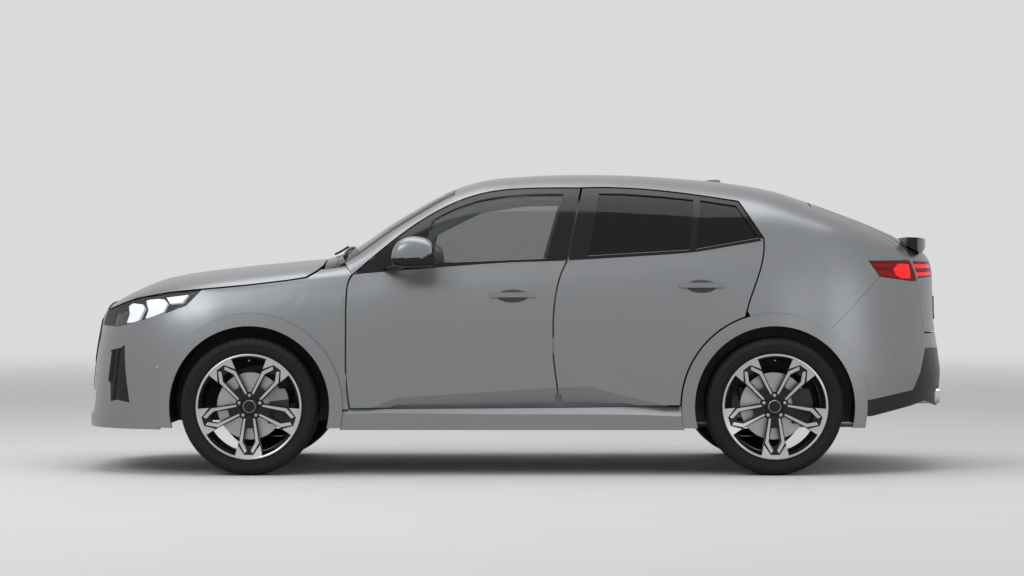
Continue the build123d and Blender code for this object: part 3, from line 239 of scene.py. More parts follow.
def divided(loop, step):
    """Closed outline with no edge longer than a step."""
    result = []
    for a, b in zip(loop, loop[1:] + loop[:1]):
        a, b = np.array(a, float), np.array(b, float)
        pieces = max(1, math.ceil(np.linalg.norm(b - a) / step))
        result += [tuple(a + (b - a) * k / pieces) for k in range(pieces)]
    return result


def within(point, loop):
    """Whether a flat point lies inside a closed outline."""
    u, v = point
    crossings = 0
    for (u0, v0), (u1, v1) in zip(loop, loop[1:] + loop[:1]):
        if (v0 > v) != (v1 > v) and u < u0 + (u1 - u0) * (v - v0) / (v1 - v0):
            crossings += 1
    return crossings % 2 == 1


def fill(outline, holes, step):
    """Even triangles inside an outline with holes, as 2D points and triples."""
    points, edges = [], []
    for loop in [outline] + list(holes):
        loop = divided(list(loop), step)
        start = len(points)
        points += loop
        edges += [(start + i, start + (i + 1) % len(loop)) for i in range(len(loop))]
    border = np.array(points)
    low, high = border.min(0), border.max(0)
    for u in np.arange(low[0] + step / 2, high[0], step):
        for v in np.arange(low[1] + step / 2, high[1], step):
            if np.hypot(border[:, 0] - u, border[:, 1] - v).min() > 0.6 * step:
                points.append((u, v))
    verts, _, faces, *_ = delaunay_2d_cdt([Vector(p) for p in points], edges, [], 1, 1e-7)
    middles = [sum((verts[i] for i in f), Vector((0, 0))) / 3 for f in faces]
    faces = [f for f, middle in zip(faces, middles) if not any(within(middle, list(hole)) for hole in holes)]
    used = sorted({i for f in faces for i in f})
    place = {old: new for new, old in enumerate(used)}
    return [tuple(verts[i]) for i in used], [tuple(place[i] for i in f) for f in faces]


def slab(outline, holes, step, top, bottom):
    """Closed plate between two surfaces, each a function of the flat outline's coordinates."""
    flat, faces = fill(outline, holes, step)
    count = len(flat)
    verts = [top(u, v) for u, v in flat] + [bottom(u, v) for u, v in flat]
    seen = {}
    for face in faces:
        for a, b in zip(face, face[1:] + face[:1]):
            seen[(a, b)] = True
    walls = [(b, a, a + count, b + count) for a, b in seen if (b, a) not in seen]
    return verts, faces + [tuple(i + count for i in reversed(f)) for f in faces] + walls


def ring_faces(rings, count, closed=False):
    """Quads between rings of points: on to the first ring again if closed, or else with a cap at each end."""
    faces = []
    for r in range(rings if closed else rings - 1):
        here, there = r * count, (r + 1) % rings * count
        for c in range(count):
            c2 = (c + 1) % count
            faces.append((here + c, here + c2, there + c2, there + c))
    if not closed:
        faces += [tuple(reversed(range(count))), tuple(range((rings - 1) * count, rings * count))]
    return faces


def lathe(profile, count):
    """Ring turned about the Y axis from closed (radius, y) points."""
    verts = []
    for k in range(count):
        angle = 2 * math.pi * k / count
        verts += [(r * math.cos(angle), y, r * math.sin(angle)) for r, y in profile]
    return verts, ring_faces(count, len(profile), True)


def sweep(path, section):
    """Closed bar along 3D points; section is a closed outline in (sideways, up) coordinates."""
    path = [Vector(p) for p in path]
    verts = []
    for i, here in enumerate(path):
        way = (path[min(i + 1, len(path) - 1)] - path[max(i - 1, 0)]).normalized()
        side = way.cross(Vector((0, 0, 1)))
        side = side.normalized() if side.length > 0.05 else Vector((0, 1, 0))
        up = side.cross(way)
        verts += [here + side * a + up * b for a, b in section]
    return verts, ring_faces(len(path), len(section))


def ring(radius_a, radius_b, count=12, power=2.0):
    """Closed superellipse outline."""
    result = []
    for k in range(count):
        angle = 2 * math.pi * k / count
        c, s = math.cos(angle), math.sin(angle)
        result.append((radius_a * math.copysign(abs(c) ** (2 / power), c),
                       radius_b * math.copysign(abs(s) ** (2 / power), s)))
    return result


def moved(part, matrix):
    """A part moved by a matrix."""
    return ([matrix @ Vector(v) for v in part[0]], *part[1:])


def both_sides(parts):
    """Parts and their mirror images on the other side of the car."""
    return parts + [moved(part, Matrix.Diagonal((1, -1, 1, 1))) for part in parts]


def box(low, high, bevel):
    """Block with bevelled edges."""
    shaped = bmesh.new()
    bmesh.ops.create_cube(shaped, size=1.0)
    size = Vector(high) - Vector(low)
    for vert in shaped.verts:
        vert.co = Vector(low) + Vector([(c + 0.5) * s for c, s in zip(vert.co, size)])
    bmesh.ops.bevel(shaped, geom=shaped.edges[:], offset=bevel, segments=3, affect="EDGES", profile=0.5)
    shaped.verts.index_update()
    part = [v.co.copy() for v in shaped.verts], [tuple(v.index for v in f.verts) for f in shaped.faces]
    shaped.free()
    return part


def skin(*names):
    """Search tree over the surfaces of CAD nodes."""
    verts, faces = [], []
    for name in names:
        base = len(verts)
        verts += [v.co.copy() for v in NODES[name].data.vertices]
        faces += [[base + i for i in p.vertices] for p in NODES[name].data.polygons]
    return BVHTree.FromPolygons(verts, faces)


def caster(tree, way, build):
    """Function that finds the skin under a flat point, seen along a direction, and lifts off it."""
    way = Vector(way)
    back, nearer = 4.0, 0.8

    def at(u, v, lift=0.0):
        start = Vector(build(u, v)) - way * back
        hit, normal, _, _ = tree.ray_cast(start, way)
        if hit is None:
            hit, normal, _, _ = tree.find_nearest(start + way * (back - nearer))
        if normal.dot(way) > 0:
            normal = -normal
        return hit + normal * lift
    return at


def from_side(tree, side):
    """Skin seen from the car's left (1) or right (-1), by X and Z."""
    return caster(tree, (0, -side, 0), lambda x, z: (x, 0, z))


def from_top(tree):
    """Skin seen from above, by X and Y."""
    return caster(tree, (0, 0, -1), lambda x, y: (x, y, 0))


def from_end(tree, end):
    """Skin seen from the front (1) or the back (-1), by Y and Z."""
    return caster(tree, (-end, 0, 0), lambda y, z: (0, y, z))


def plate_on(at, outline, step, lift, thick, holes=()):
    """Plate that follows a skin, with its outer face off it by lift, in triangles of about a step."""
    return slab(outline, holes, step, lambda u, v: at(u, v, lift), lambda u, v: at(u, v, lift - thick))


# Finishes of the CAD nodes that stay in view
def dress(material, *names):
    """Give CAD nodes one finish."""
    for name in names:
        slots = NODES[name].data.materials
        slots.clear()
        slots.append(material)


def dress_where(material, test, *names):
    """Give another finish to the faces of CAD nodes for which test(centre, normal, corners) holds."""
    for name in names:
        mesh = NODES[name].data
        mesh.materials.append(material)
        number = len(mesh.materials) - 1
        for face in mesh.polygons:
            corners = [mesh.vertices[i].co for i in face.vertices]
            if test(face.center, face.normal, corners):
                face.material_index = number


DOORS = [f"{end}_door_{side}" for end in ("front", "rear") for side, _ in SIDES]
FRAMES = ["side_frame_left", "side_frame_right"]
dress(PAINT, *DOORS, *FRAMES, "roof_panel", "hood", "front_bumper", "rear_bumper", "side_skirts",
      "arch_flares", "tailgate")
dress(GLOSS_BLACK, "cowl_panel", "spoiler")
dress(SATIN_BLACK, "grille", "rear_valance")
dress(CLEAR_GLASS, "windscreen", "front_glass_left", "front_glass_right")
dress(DARK_GLASS, "rear_glass_left", "rear_glass_right", "tailgate_glass")
dress(COATED, "floor_pan", "front_subframe", "rear_axle", "knuckle_left", "knuckle_right")
dress(CAST, "engine")
dress(STEEL, "exhaust", *[f"brake_disc_{corner}" for corner in CORNERS])
dress_where(CHROME, lambda c, n, k: c.x < -2.0, "exhaust")
dress_where(CAST, lambda c, n, k: c.z > 0.38 and abs(c.y) > 0.66, "knuckle_left", "knuckle_right")

# Belt line under the windows, along X
BELT = smooth([(0.837, 1.027), (0.658, 1.042), (0.348, 1.067), (0.043, 1.088), (-0.253, 1.098),
               (-0.737, 1.127), (-0.921, 1.142), (-1.096, 1.171), (-1.29, 1.204)])
BELT_X, BELT_Z = np.array(BELT)[::-1].T


def belt(x):
    """Height of the belt line at X."""
    return float(np.interp(x, BELT_X, BELT_Z))


def inward(centre, normal, corners):
    """Faces that look towards the middle of the car."""
    return normal.y * math.copysign(1, centre.y) < -0.35


def above_belt(centre, normal, corners):
    """Faces wholly above the belt line."""
    return min(c.z for c in corners) > belt(centre.x) + 0.002


def downward(centre, normal, corners):
    """Faces that look down."""
    return normal.z < -0.35


dress_where(GLOSS_BLACK, above_belt, *DOORS)
dress_where(CABIN, inward, *DOORS, *FRAMES)
dress_where(LINING, lambda c, n, k: inward(c, n, k) and c.z > 1.2, *FRAMES)
dress_where(LINING, downward, "roof_panel")
dress_where(CARPET, downward, "hood")
dress_where(CABIN, lambda c, n, k: n.x > 0.3 or n.z < -0.3, "tailgate")
dress_where(CARPET, lambda c, n, k: n.z > 0.8 and abs(c.y) < 0.72 and c.x < 0.93, "floor_pan")

# Black window surrounds on the doors
FRONT_TOP = smooth([(-0.333, 1.477), (-0.06, 1.475), (0.187, 1.445), (0.433, 1.341), (0.658, 1.181),
                    (0.837, 1.027)])
REAR_TOP = smooth([(-1.15, 1.405), (-0.951, 1.436), (-0.745, 1.462), (-0.538, 1.477), (-0.345, 1.477)])
FRONT_WINDOW = [(0.49, 1.086), (-0.151, 1.112), (-0.246, 1.446)] + smooth(
    [(-0.246, 1.446), (-0.06, 1.444), (0.187, 1.413), (0.433, 1.308)])[1:]
REAR_WINDOW = [(-0.374, 1.126), (-0.889, 1.156), (-0.917, 1.416), (-0.74, 1.434), (-0.56, 1.447),
               (-0.43, 1.449)]
QUARTER_WINDOW = [(-0.927, 1.16), (-1.248, 1.217), (-1.138, 1.384), (-0.955, 1.413)]
TRIM_EDGE = 0.0025
TRIM_STEP, TRIM_LIFT, TRIM_THICK = 0.03, 0.0012, 0.003


def below_window(first, last):
    """Belt line between two X places, from front to back."""
    return [(x, belt(x)) for x in np.linspace(first, last, 30)]


BANDS = {"front": (FRONT_TOP[:-1] + below_window(0.837, -0.256), [FRONT_WINDOW]),
         "rear": (REAR_TOP + below_window(-0.266, -1.268), [REAR_WINDOW, QUARTER_WINDOW])}
for side_name, side in SIDES:
    for end, (band, windows) in BANDS.items():
        at = from_side(skin(f"{end}_door_{side_name}", f"{end}_glass_{side_name}"), side)
        holes = [inset(window, -TRIM_EDGE) for window in windows]
        part = plate_on(at, inset(band, TRIM_EDGE), TRIM_STEP, TRIM_LIFT, TRIM_THICK, holes)
        make(f"window_surround_{end}_{side_name}", [part], GLOSS_BLACK, sharp=CRISP,
             body=f"door_{end}_{side_name}")

# Wheels: five double spokes with machined faces over black pockets, in a ring with a bright lip
ARM_COUNT = 5
FIRST_ARM = -90.0
LIP_R = 0.2605
HUB_FACE, FACE_RISE = 0.074, 0.037
BOLT_R = 0.056
ARM_BODY = [(-0.034, 0.05), (-0.055, 0.186), (-0.06, 0.204), (-0.072, 0.248), (0.072, 0.248),
            (0.06, 0.204), (0.055, 0.186), (0.034, 0.05)]
ARM_SLOT = [(-0.017, 0.112), (-0.029, 0.18), (-0.017, 0.205), (0.017, 0.205), (0.029, 0.18), (0.017, 0.112)]
BLADE = [(0.029, 0.062), (0.0505, 0.186), (0.021, 0.2385), (0.01, 0.2255), (0.0335, 0.181), (0.0195, 0.062)]
BODY_SINK, BODY_THICK, BLADE_THICK = 0.011, 0.036, 0.016
ARM_STEP = 0.016
FOOT_SPREAD, FOOT_NOTCH = 0.07, 0.023
FOOT_END = [(0.0565, 0.197), (FOOT_NOTCH, 0.247), (-FOOT_NOTCH, 0.247), (-0.0565, 0.197)]
BOLT = [(0.0005, 0.076), (0.006, 0.076), (0.0095, 0.0735), (0.0105, 0.066), (0.0105, 0.05), (0.0005, 0.05)]
LIP = [(0.258, 0.1065), (0.26, 0.113), (0.265, 0.115), (0.27, 0.1135), (0.2715, 0.108),
       (0.264, 0.103)]
BARREL = [(0.2592, 0.1085), (0.248, 0.092), (0.242, 0.05), (0.239, -0.06), (0.243, -0.1),
          (0.269, -0.114), (0.2715, -0.108), (0.256, -0.098), (0.25, -0.02), (0.253, 0.085),
          (0.264, 0.104)]
HUB = [(0.0005, 0.07), (0.044, 0.07), (0.048, 0.0655), (0.07, 0.064), (0.074, 0.058),
       (0.074, 0.03), (0.0005, 0.03)]
CAP = [(0.0005, 0.086), (0.015, 0.0855), (0.025, 0.083), (0.028, 0.079), (0.028, 0.066),
       (0.0005, 0.066)]
CAP_RING = [(0.028, 0.08), (0.03, 0.0815), (0.032, 0.08), (0.032, 0.068), (0.028, 0.068)]
VALVE = [(0.0005, 0.095), (0.0035, 0.095), (0.0045, 0.09), (0.0045, 0.06), (0.0005, 0.06)]
VALVE_R = 0.236


def face_y(r):
    """Height of the wheel's face over its middle plane at a radius."""
    return HUB_FACE + FACE_RISE * (r / LIP_R) ** 2


def arm_plate(outline, holes, turn, raise_top, drop):
    """Plate of one arm, its outline given across and along the arm."""
    c, s = math.cos(turn), math.sin(turn)

    def at(lift):
        def place(a, r):
            return Vector((c * r - s * a, face_y(math.hypot(a, r)) + lift, s * r + c * a))
        return place
    return slab(outline, holes, ARM_STEP, at(raise_top), at(raise_top - drop))


def wheel_parts():
    """The rim's parts with their material numbers: machined, black, bolt steel."""
    foot_rise = [(a, math.sqrt(LIP_R ** 2 - a ** 2)) for a in np.linspace(-FOOT_SPREAD, FOOT_SPREAD, 9)]
    parts = []
    for k in range(ARM_COUNT):
        turn = math.radians(FIRST_ARM + 360 / ARM_COUNT * k)
        parts.append((*arm_plate(ARM_BODY, [ARM_SLOT], turn, -BODY_SINK, BODY_THICK), 1))
        for outline in (BLADE, [(-a, r) for a, r in reversed(BLADE)], foot_rise + FOOT_END):
            parts.append((*arm_plate(outline, [], turn, 0.0, BLADE_THICK), 0))
        between = turn + math.pi / ARM_COUNT
        place = Matrix.Translation((BOLT_R * math.cos(between), 0, BOLT_R * math.sin(between)))
        parts.append((*moved(lathe(BOLT, 6), place), 2))
    for profile, count, number in ((LIP, 120, 0), (BARREL, 120, 1), (HUB, 60, 1), (CAP, 48, 1),
                                   (CAP_RING, 48, 2)):
        parts.append((*lathe(profile, count), number))
    parts.append((*moved(lathe(VALVE, 10), Matrix.Translation((0, 0, VALVE_R))), 2))
    return parts


TREAD_R = 0.352
TYRE_STEPS = 240
LUG_STEPS, LUG_CUT = 4, 0.0045
GROOVES = (-0.068, -0.03, 0.03, 0.068)
GROOVE_WIDTH, GROOVE_DEPTH = 0.009, 0.007


def tyre_profile():
    """Section of the tyre as (radius, y, is shoulder): bead, tread, bead and back inside."""
    wall = [(0.2585, 0.106), (0.272, 0.1085), (0.2765, 0.112), (0.279, 0.1105), (0.286, 0.1165),
            (0.2885, 0.118), (0.2905, 0.1172), (0.305, 0.1225), (0.318, 0.122), (0.32, 0.1228),
            (0.322, 0.1215), (0.331, 0.1185)]
    shoulder = [(0.339, 0.113), (0.345, 0.105), (0.3495, 0.093), (0.3512, 0.08)]
    tread = []
    for middle in GROOVES:
        for across, deep in ((-1, 0), (-0.7, 1), (0.7, 1), (1, 0)):
            tread.append((TREAD_R - GROOVE_DEPTH * deep, middle + across * GROOVE_WIDTH / 2, False))
    left = [(r, -y, False) for r, y in wall] + [(r, -y, True) for r, y in shoulder]
    right = [(r, y, True) for r, y in reversed(shoulder)] + [(r, y, False) for r, y in reversed(wall)]
    return left + tread + right + [(0.26, 0.06, False), (0.26, -0.06, False)]


def tyre_part():
    """Tyre with grooves round the tread and lugs cut across the shoulders."""
    profile = tyre_profile()
    verts = []
    for k in range(TYRE_STEPS):
        angle = 2 * math.pi * k / TYRE_STEPS
        for r, y, is_shoulder in profile:
            r -= LUG_CUT if is_shoulder and k % LUG_STEPS == 0 else 0.0
            verts.append((r * math.cos(angle), y, r * math.sin(angle)))
    return verts, ring_faces(TYRE_STEPS, len(profile), True)


WHEEL = wheel_parts()
TYRE = tyre_part()
for corner in CORNERS:
    centre = Vector(JOINTS[f"spin_{corner}"]["pos_m"])
    place = Matrix.Translation(centre) @ Matrix.Diagonal((1, math.copysign(1, centre.y), 1, 1))
    body = f"wheel_{corner}"
    rim = make(f"spoked_rim_{corner}", [moved(part, place) for part in WHEEL], [MACHINED, WHEEL_BLACK, STEEL],
               CRISP, body)
    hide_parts(f"rim_{corner}")
    tyre = make(f"treaded_tyre_{corner}", [moved(TYRE, place)], RUBBER, ROUND, body)
    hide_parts(f"tyre_{corner}")


# Lamps: clear or red lens over a dark tray, with lit elements under the lens
def shell_of(name, test, thick):
    """Closed sheet made of a CAD node's faces that pass a test, thickened inwards."""
    shaped = bmesh.new()
    shaped.from_mesh(NODES[name].data)
    drop = [f for f in shaped.faces if not test(f.calc_center_median(), f.normal)]
    bmesh.ops.delete(shaped, geom=drop, context="FACES")
    bmesh.ops.remove_doubles(shaped, verts=shaped.verts[:], dist=WELD)
    shaped.normal_update()
    shaped.verts.index_update()
    count = len(shaped.verts)
    verts = [v.co.copy() for v in shaped.verts] + [v.co - v.normal * thick for v in shaped.verts]
    faces = [tuple(v.index for v in f.verts) for f in shaped.faces]
    walls = []
    for edge in shaped.edges:
        if len(edge.link_loops) == 1:
            loop = edge.link_loops[0]
            a, b = loop.vert.index, loop.link_loop_next.vert.index
            walls.append((b, a, a + count, b + count))
    shaped.free()
    return verts, faces + [tuple(i + count for i in reversed(f)) for f in faces] + walls


LENS_THICK, TRAY_THICK = 0.002, 0.0012


def lamp_case(node, name, end, material, body):
    """Lens and dark tray that stand for a lamp at the front (1) or the back (-1) of the car."""
    def is_lens(centre, normal):
        out = 0.9 * end * normal.x + 0.5 * normal.y * math.copysign(1, centre.y)
        return out > 0.35 and abs(normal.z) < 0.75

    lens = make(f"{name}_lenses", [shell_of(node, is_lens, LENS_THICK)], material, ROUND, body)
    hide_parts(node)
    tray = shell_of(node, lambda c, n: not is_lens(c, n), TRAY_THICK)
    make(f"{name}_trays", [tray], GLOSS_BLACK, body=body)


def lamp_plates(name, at, shapes, step, lift, thick, material, slot="lamp_red", body="body"):
    """Plates under the lenses of both sides of the car, by their outlines on the left side."""
    parts = [plate_on(at, shape, step, lift, thick) for shape in shapes]
    make(name, both_sides(parts), material, CRISP, body)


LAMP_SHAPES = (
    [(2.021, 0.866), (1.998, 0.881), (1.94, 0.876), (1.927, 0.855), (1.956, 0.793), (1.983, 0.781),
     (2.027, 0.779), (2.012, 0.826)],
    [(1.921, 0.893), (1.903, 0.9), (1.849, 0.906), (1.818, 0.902), (1.8, 0.881), (1.82, 0.837),
     (1.903, 0.8), (1.922, 0.796), (1.904, 0.845)],
    [(1.808, 0.912), (1.692, 0.926), (1.721, 0.886), (1.787, 0.88)],
)
BEZEL_EDGE = 0.001
STRIP_DEPTH = (-0.007, 0.006)
TAIL_BRIGHT = [(-1.998, 1.088), (-2.062, 1.086), (-2.068, 1.012), (-2.02, 1.012), (-1.985, 1.03),
               (-1.972, 1.06)]
TAIL_STRIPS = (
    [(-1.85, 1.086), (-1.985, 1.084), (-1.962, 1.072), (-1.862, 1.074)],
    [(-1.872, 1.05), (-1.955, 1.05), (-1.978, 1.022), (-1.892, 1.03)],
)
HATCH_STRIPS = (
    [(0.255, 1.086), (0.535, 1.086), (0.535, 1.07), (0.268, 1.07)],
    [(0.31, 1.044), (0.535, 1.042), (0.535, 1.024), (0.33, 1.032)],
)
lamp_case("headlamps", "headlamp", 1, LENS, "body")
lamp_at = from_side(skin("headlamps"), 1)
lamp_plates("headlamp_elements", lamp_at, LAMP_SHAPES, 0.0093, -0.0045, 0.003, LED_WHITE, "lamp_clear")
bezels = [inset(shape, -BEZEL_EDGE) for shape in LAMP_SHAPES]
lamp_plates("headlamp_bezels", lamp_at, bezels, 0.014, -0.019, 0.004, REFLECTOR, "steel")
lamp_case("tail_lamps", "tail_lamp", -1, RED_LENS, "body")
tail_at = from_side(skin("tail_lamps"), 1)
lamp_plates("tail_lamp_bright", tail_at, [TAIL_BRIGHT], 0.012, *STRIP_DEPTH, LED_RED)
lamp_plates("tail_lamp_strips", tail_at, TAIL_STRIPS, 0.012, *STRIP_DEPTH, LED_DIM)
lamp_case("tailgate_lamps", "tailgate_lamp", -1, RED_LENS, "tailgate")
hatch_at = from_end(skin("tailgate_lamps"), -1)
lamp_plates("tailgate_lamp_strips", hatch_at, HATCH_STRIPS, 0.014, *STRIP_DEPTH, LED_RED, body="tailgate")

# Nose: bars in the grille, slats in the lower intake, fins in the side intakes
GRILLE = [(-0.33, 0.8), (0.33, 0.8), (0.39, 0.7), (0.33, 0.56), (-0.33, 0.56), (-0.39, 0.7)]
INTAKE_Z, INTAKE_HALF = (0.3, 0.42), (0.47, 0.52)
SIDE_INTAKE = [(0.6, 0.63), (0.69, 0.65), (0.705, 0.38), (0.64, 0.365)]
OPENING_GAP = 0.006
BAR_COUNT, BAR_REACH, BAR_LIFT = 22, 0.37, 0.01
SLAT_HEIGHTS, SLAT_LIFT = (0.325, 0.355, 0.385), -0.005
FIN_PLACES, FIN_LIFT = (0.63, 0.662), 0.006
BAR, SLAT, FIN = ring(0.0045, 0.013, 10, 3.0), ring(0.007, 0.004, 10, 3.0), ring(0.004, 0.01, 8, 3.0)
grille_at = from_end(skin("grille"), 1)
bumper_at = from_end(skin("front_bumper"), 1)


def span(outline, across):
    """Lowest and highest Z of an outline in front view at one Y."""
    heights = []
    for (y0, z0), (y1, z1) in zip(outline, outline[1:] + outline[:1]):
        if min(y0, y1) <= across <= max(y0, y1) and y0 != y1:
            heights.append(z0 + (z1 - z0) * (across - y0) / (y1 - y0))
    return min(heights), max(heights)


bars = []
for across in np.linspace(-BAR_REACH, BAR_REACH, BAR_COUNT):
    line = [grille_at(across, z, BAR_LIFT) for z in np.linspace(*span(inset(GRILLE, OPENING_GAP), across), 9)]
    verts = [here + Vector((b, a, 0)) for here in line for a, b in BAR]
    bars.append((verts, ring_faces(len(line), len(BAR))))
make("grille_bars", bars, GLOSS_BLACK)
part = plate_on(bumper_at, inset(GRILLE, -0.016), 0.02, 0.0025, 0.006, [inset(GRILLE, -0.0015)])
make("grille_frame", [part], SATIN_BLACK, sharp=CRISP)
slats = []
for height in SLAT_HEIGHTS:
    half = np.interp(height, INTAKE_Z, INTAKE_HALF) - OPENING_GAP
    slats.append(sweep([grille_at(y, height, SLAT_LIFT) for y in np.linspace(-half, half, 41)], SLAT))
make("intake_slats", slats, SATIN_BLACK)
fins = []
for side in (1, -1):
    for across in FIN_PLACES:
        heights = np.linspace(*span(inset(SIDE_INTAKE, OPENING_GAP), across), 9)
        fins.append(sweep([grille_at(across * side, z, FIN_LIFT) for z in heights], FIN))
make("side_intake_fins", fins, SATIN_BLACK)

# Front fenders: the panels with their outer skin ironed to one smooth surface
IRON_FROM, IRON_FULL = 0.86, 0.95
FENDER_MIDDLE, FENDER_HALF = (1.27, 0.72), (0.43, 0.38)
FENDER_POWERS = (4, 7)
FIT_LOW = 0.74
DENT_X, DENT_Z = 0.98, 0.965
DOOR_STRIP_X, DOOR_STRIP_TOP = 0.66, 1.03


def surface_terms(x, z):
    """Terms of a smooth surface over X and Z of the fender."""
    u = (np.asarray(x) - FENDER_MIDDLE[0]) / FENDER_HALF[0]
    v = (np.asarray(z) - FENDER_MIDDLE[1]) / FENDER_HALF[1]
    return np.stack([u ** i * v ** j for i in range(FENDER_POWERS[0]) for j in range(FENDER_POWERS[1])], -1)


def outer_points(name):
    """Points of a node's faces that look out to the car's left."""
    mesh = NODES[name].data
    outer = [face for face in mesh.polygons if face.normal.y > 0.3 and face.center.y > 0]
    numbers = {i for face in outer for i in face.vertices}
    return [mesh.vertices[i].co for i in sorted(numbers)]


samples = [p for p in outer_points("front_fenders") if p.z > FIT_LOW and not (p.x < DENT_X and p.z > DENT_Z)]
samples += [p for p in outer_points("front_door_left")
            if p.x > DOOR_STRIP_X and FIT_LOW < p.z < DOOR_STRIP_TOP]
samples = np.array(samples)
fender_fit = np.linalg.lstsq(surface_terms(samples[:, 0], samples[:, 2]), samples[:, 1], rcond=None)[0]
shaped = bmesh.new()
shaped.from_mesh(NODES["front_fenders"].data)
bmesh.ops.remove_doubles(shaped, verts=shaped.verts[:], dist=WELD)
shaped.normal_update()
for vert in shaped.verts:
    side = math.copysign(1, vert.co.y)
    if any(face.normal.y * side > 0.25 for face in vert.link_faces) and vert.co.z > IRON_FROM:
        share = min(1.0, (vert.co.z - IRON_FROM) / (IRON_FULL - IRON_FROM))
        ironed = side * float(surface_terms(vert.co.x, vert.co.z) @ fender_fit)
        vert.co.y += share * (ironed - vert.co.y)
shaped.verts.index_update()
part = [v.co for v in shaped.verts], [[v.index for v in f.verts] for f in shaped.faces]
fenders = make("ironed_fenders", [part], PAINT, CRISP)
shaped.free()
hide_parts("front_fenders")

# Door mirrors: painted cap over a black shell, glass in the back and a foot on the door
MIRROR_STATIONS = (
    (0.636, 1.092, 1.118, 0.935, 1.0), (0.628, 1.078, 1.15, 0.912, 1.022),
    (0.612, 1.069, 1.178, 0.897, 1.036), (0.59, 1.064, 1.199, 0.888, 1.045),
    (0.553, 1.062, 1.216, 0.883, 1.05), (0.508, 1.063, 1.222, 0.881, 1.051),
    (0.463, 1.066, 1.216, 0.881, 1.05), (0.44, 1.068, 1.208, 0.882, 1.048),
    (0.424, 1.071, 1.196, 0.885, 1.044), (0.42, 1.077, 1.189, 0.891, 1.038),
    (0.427, 1.08, 1.186, 0.894, 1.035),
)
MIRROR_RING = ring(1.0, 1.0, 96, 2.7)
MIRROR_FINE = 6
MIRROR_LEAN, LEAN_STATION = 0.16, 7
CAP_TURN, CAP_HEIGHT, CAP_BACK = (0.425, 0.475), (1.139, 1.111), 0.428
FOOT_LINE = [(0.56, 0.935, 1.078), (0.6, 0.885, 1.068), (0.64, 0.835, 1.058), (0.66, 0.8, 1.052)]
FOOT_SECTION = ring(0.03, 0.013, 16, 2.8)


def mirror_parts():
    """Head of the left mirror with its cap (0), shell (1) and glass (2), and its foot."""
    stations = smooth(MIRROR_STATIONS, MIRROR_FINE)
    verts = []
    for number, (x, low, high, inner, outer) in enumerate(stations):
        lean = MIRROR_LEAN * min(1.0, number / (LEAN_STATION * MIRROR_FINE))
        across, wide = (inner + outer) / 2, (outer - inner) / 2
        middle, half = (low + high) / 2, (high - low) / 2
        verts += [Vector((x + lean * half * b, across + wide * a, middle + half * b)) for a, b in MIRROR_RING]
    faces = ring_faces(len(stations), len(MIRROR_RING))
    index = []
    for face in faces:
        centre = sum((verts[i] for i in face), Vector()) / len(face)
        is_cap = centre.z > np.interp(centre.x, CAP_TURN, CAP_HEIGHT) and centre.x > CAP_BACK
        index.append(0 if is_cap else 1)
    index[-1] = 2
    return [(verts, faces, index), (*sweep(smooth(FOOT_LINE, 4), FOOT_SECTION), 1)]


MIRROR_SHAPE = mirror_parts()
for side_name, side in SIDES:
    parts = [moved(part, Matrix.Diagonal((1, side, 1, 1))) for part in MIRROR_SHAPE]
    piece = make(f"mirror_head_{side_name}", parts, [PAINT, GLOSS_BLACK, MIRROR],
                 body=f"door_front_{side_name}")
    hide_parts(f"mirror_{side_name}")

# Black panels beside the side intakes, from the opening's edge back to a line seen from the side
nose_side = from_side(skin("front_bumper"), 1)
panel = [(0.6908, 0.652), (nose_side(2.03, 0.664).y, 0.664), (nose_side(1.999, 0.368).y, 0.368),
         (0.706, 0.378)]
part = plate_on(bumper_at, panel, 0.006, TRIM_LIFT, TRIM_THICK)
make("side_intake_panels", both_sides([part]), GLOSS_BLACK, sharp=CRISP)


# Blank plates with holders, parking sensors, wipers and the dark borders of the glass
def rectangle(half, low, high):
    """Outline in front view, about the middle of the car."""
    return [(-half, low), (half, low), (half, high), (-half, high)]


PLATE_HALF, PLATE_STEP, HOLDER_EDGE = 0.26, 0.04, 0.008
tail_skin = from_end(skin("tailgate"), -1)
for name, at, low, high, body in (("front", bumper_at, 0.44, 0.55, "body"),
                                  ("rear", tail_skin, 0.8, 0.91, "tailgate")):
    shape = rectangle(PLATE_HALF, low, high)
    holder = plate_on(at, inset(shape, -HOLDER_EDGE), PLATE_STEP, 0.006, 0.007)
    make(f"plate_holder_{name}", [holder], MOULDED, sharp=CRISP, body=body)
    plate = plate_on(at, shape, PLATE_STEP, 0.008, 0.0025)
    make(f"blank_plate_{name}", [plate], PLATE_WHITE, CRISP, body)

SENSOR = [(0.0004, 0.0012), (0.0085, 0.001), (0.0092, 0.0004), (0.0096, -0.002), (0.0102, 0.0008),
          (0.0112, 0.0006), (0.0116, -0.004), (0.0004, -0.004)]


def facing(at, u, v, step=0.01):
    """Matrix that stands a lathed piece on a skin, its Y axis along the skin's normal."""
    here = at(u, v)
    normal = (at(u + step, v) - at(u - step, v)).cross(at(u, v + step) - at(u, v - step)).normalized()
    if normal.dot(here - Vector((0.0, 0.0, here.z))) < 0:
        normal = -normal
    return Matrix.Translation(here) @ Vector((0, 1, 0)).rotation_difference(normal).to_matrix().to_4x4()


tail_side = from_side(skin("rear_bumper"), 1)
tail_end = from_end(skin("rear_bumper"), -1)
SENSOR_PLACES = ((nose_side, 1.85, 0.545), (bumper_at, 0.47, 0.5), (tail_side, -1.96, 0.6),
                 (tail_end, 0.28, 0.6), (tail_end, 0.6, 0.6))
studs = [moved(lathe(SENSOR, 24), facing(*place)) for place in SENSOR_PLACES]
make("parking_sensors", both_sides(studs), PAINT)

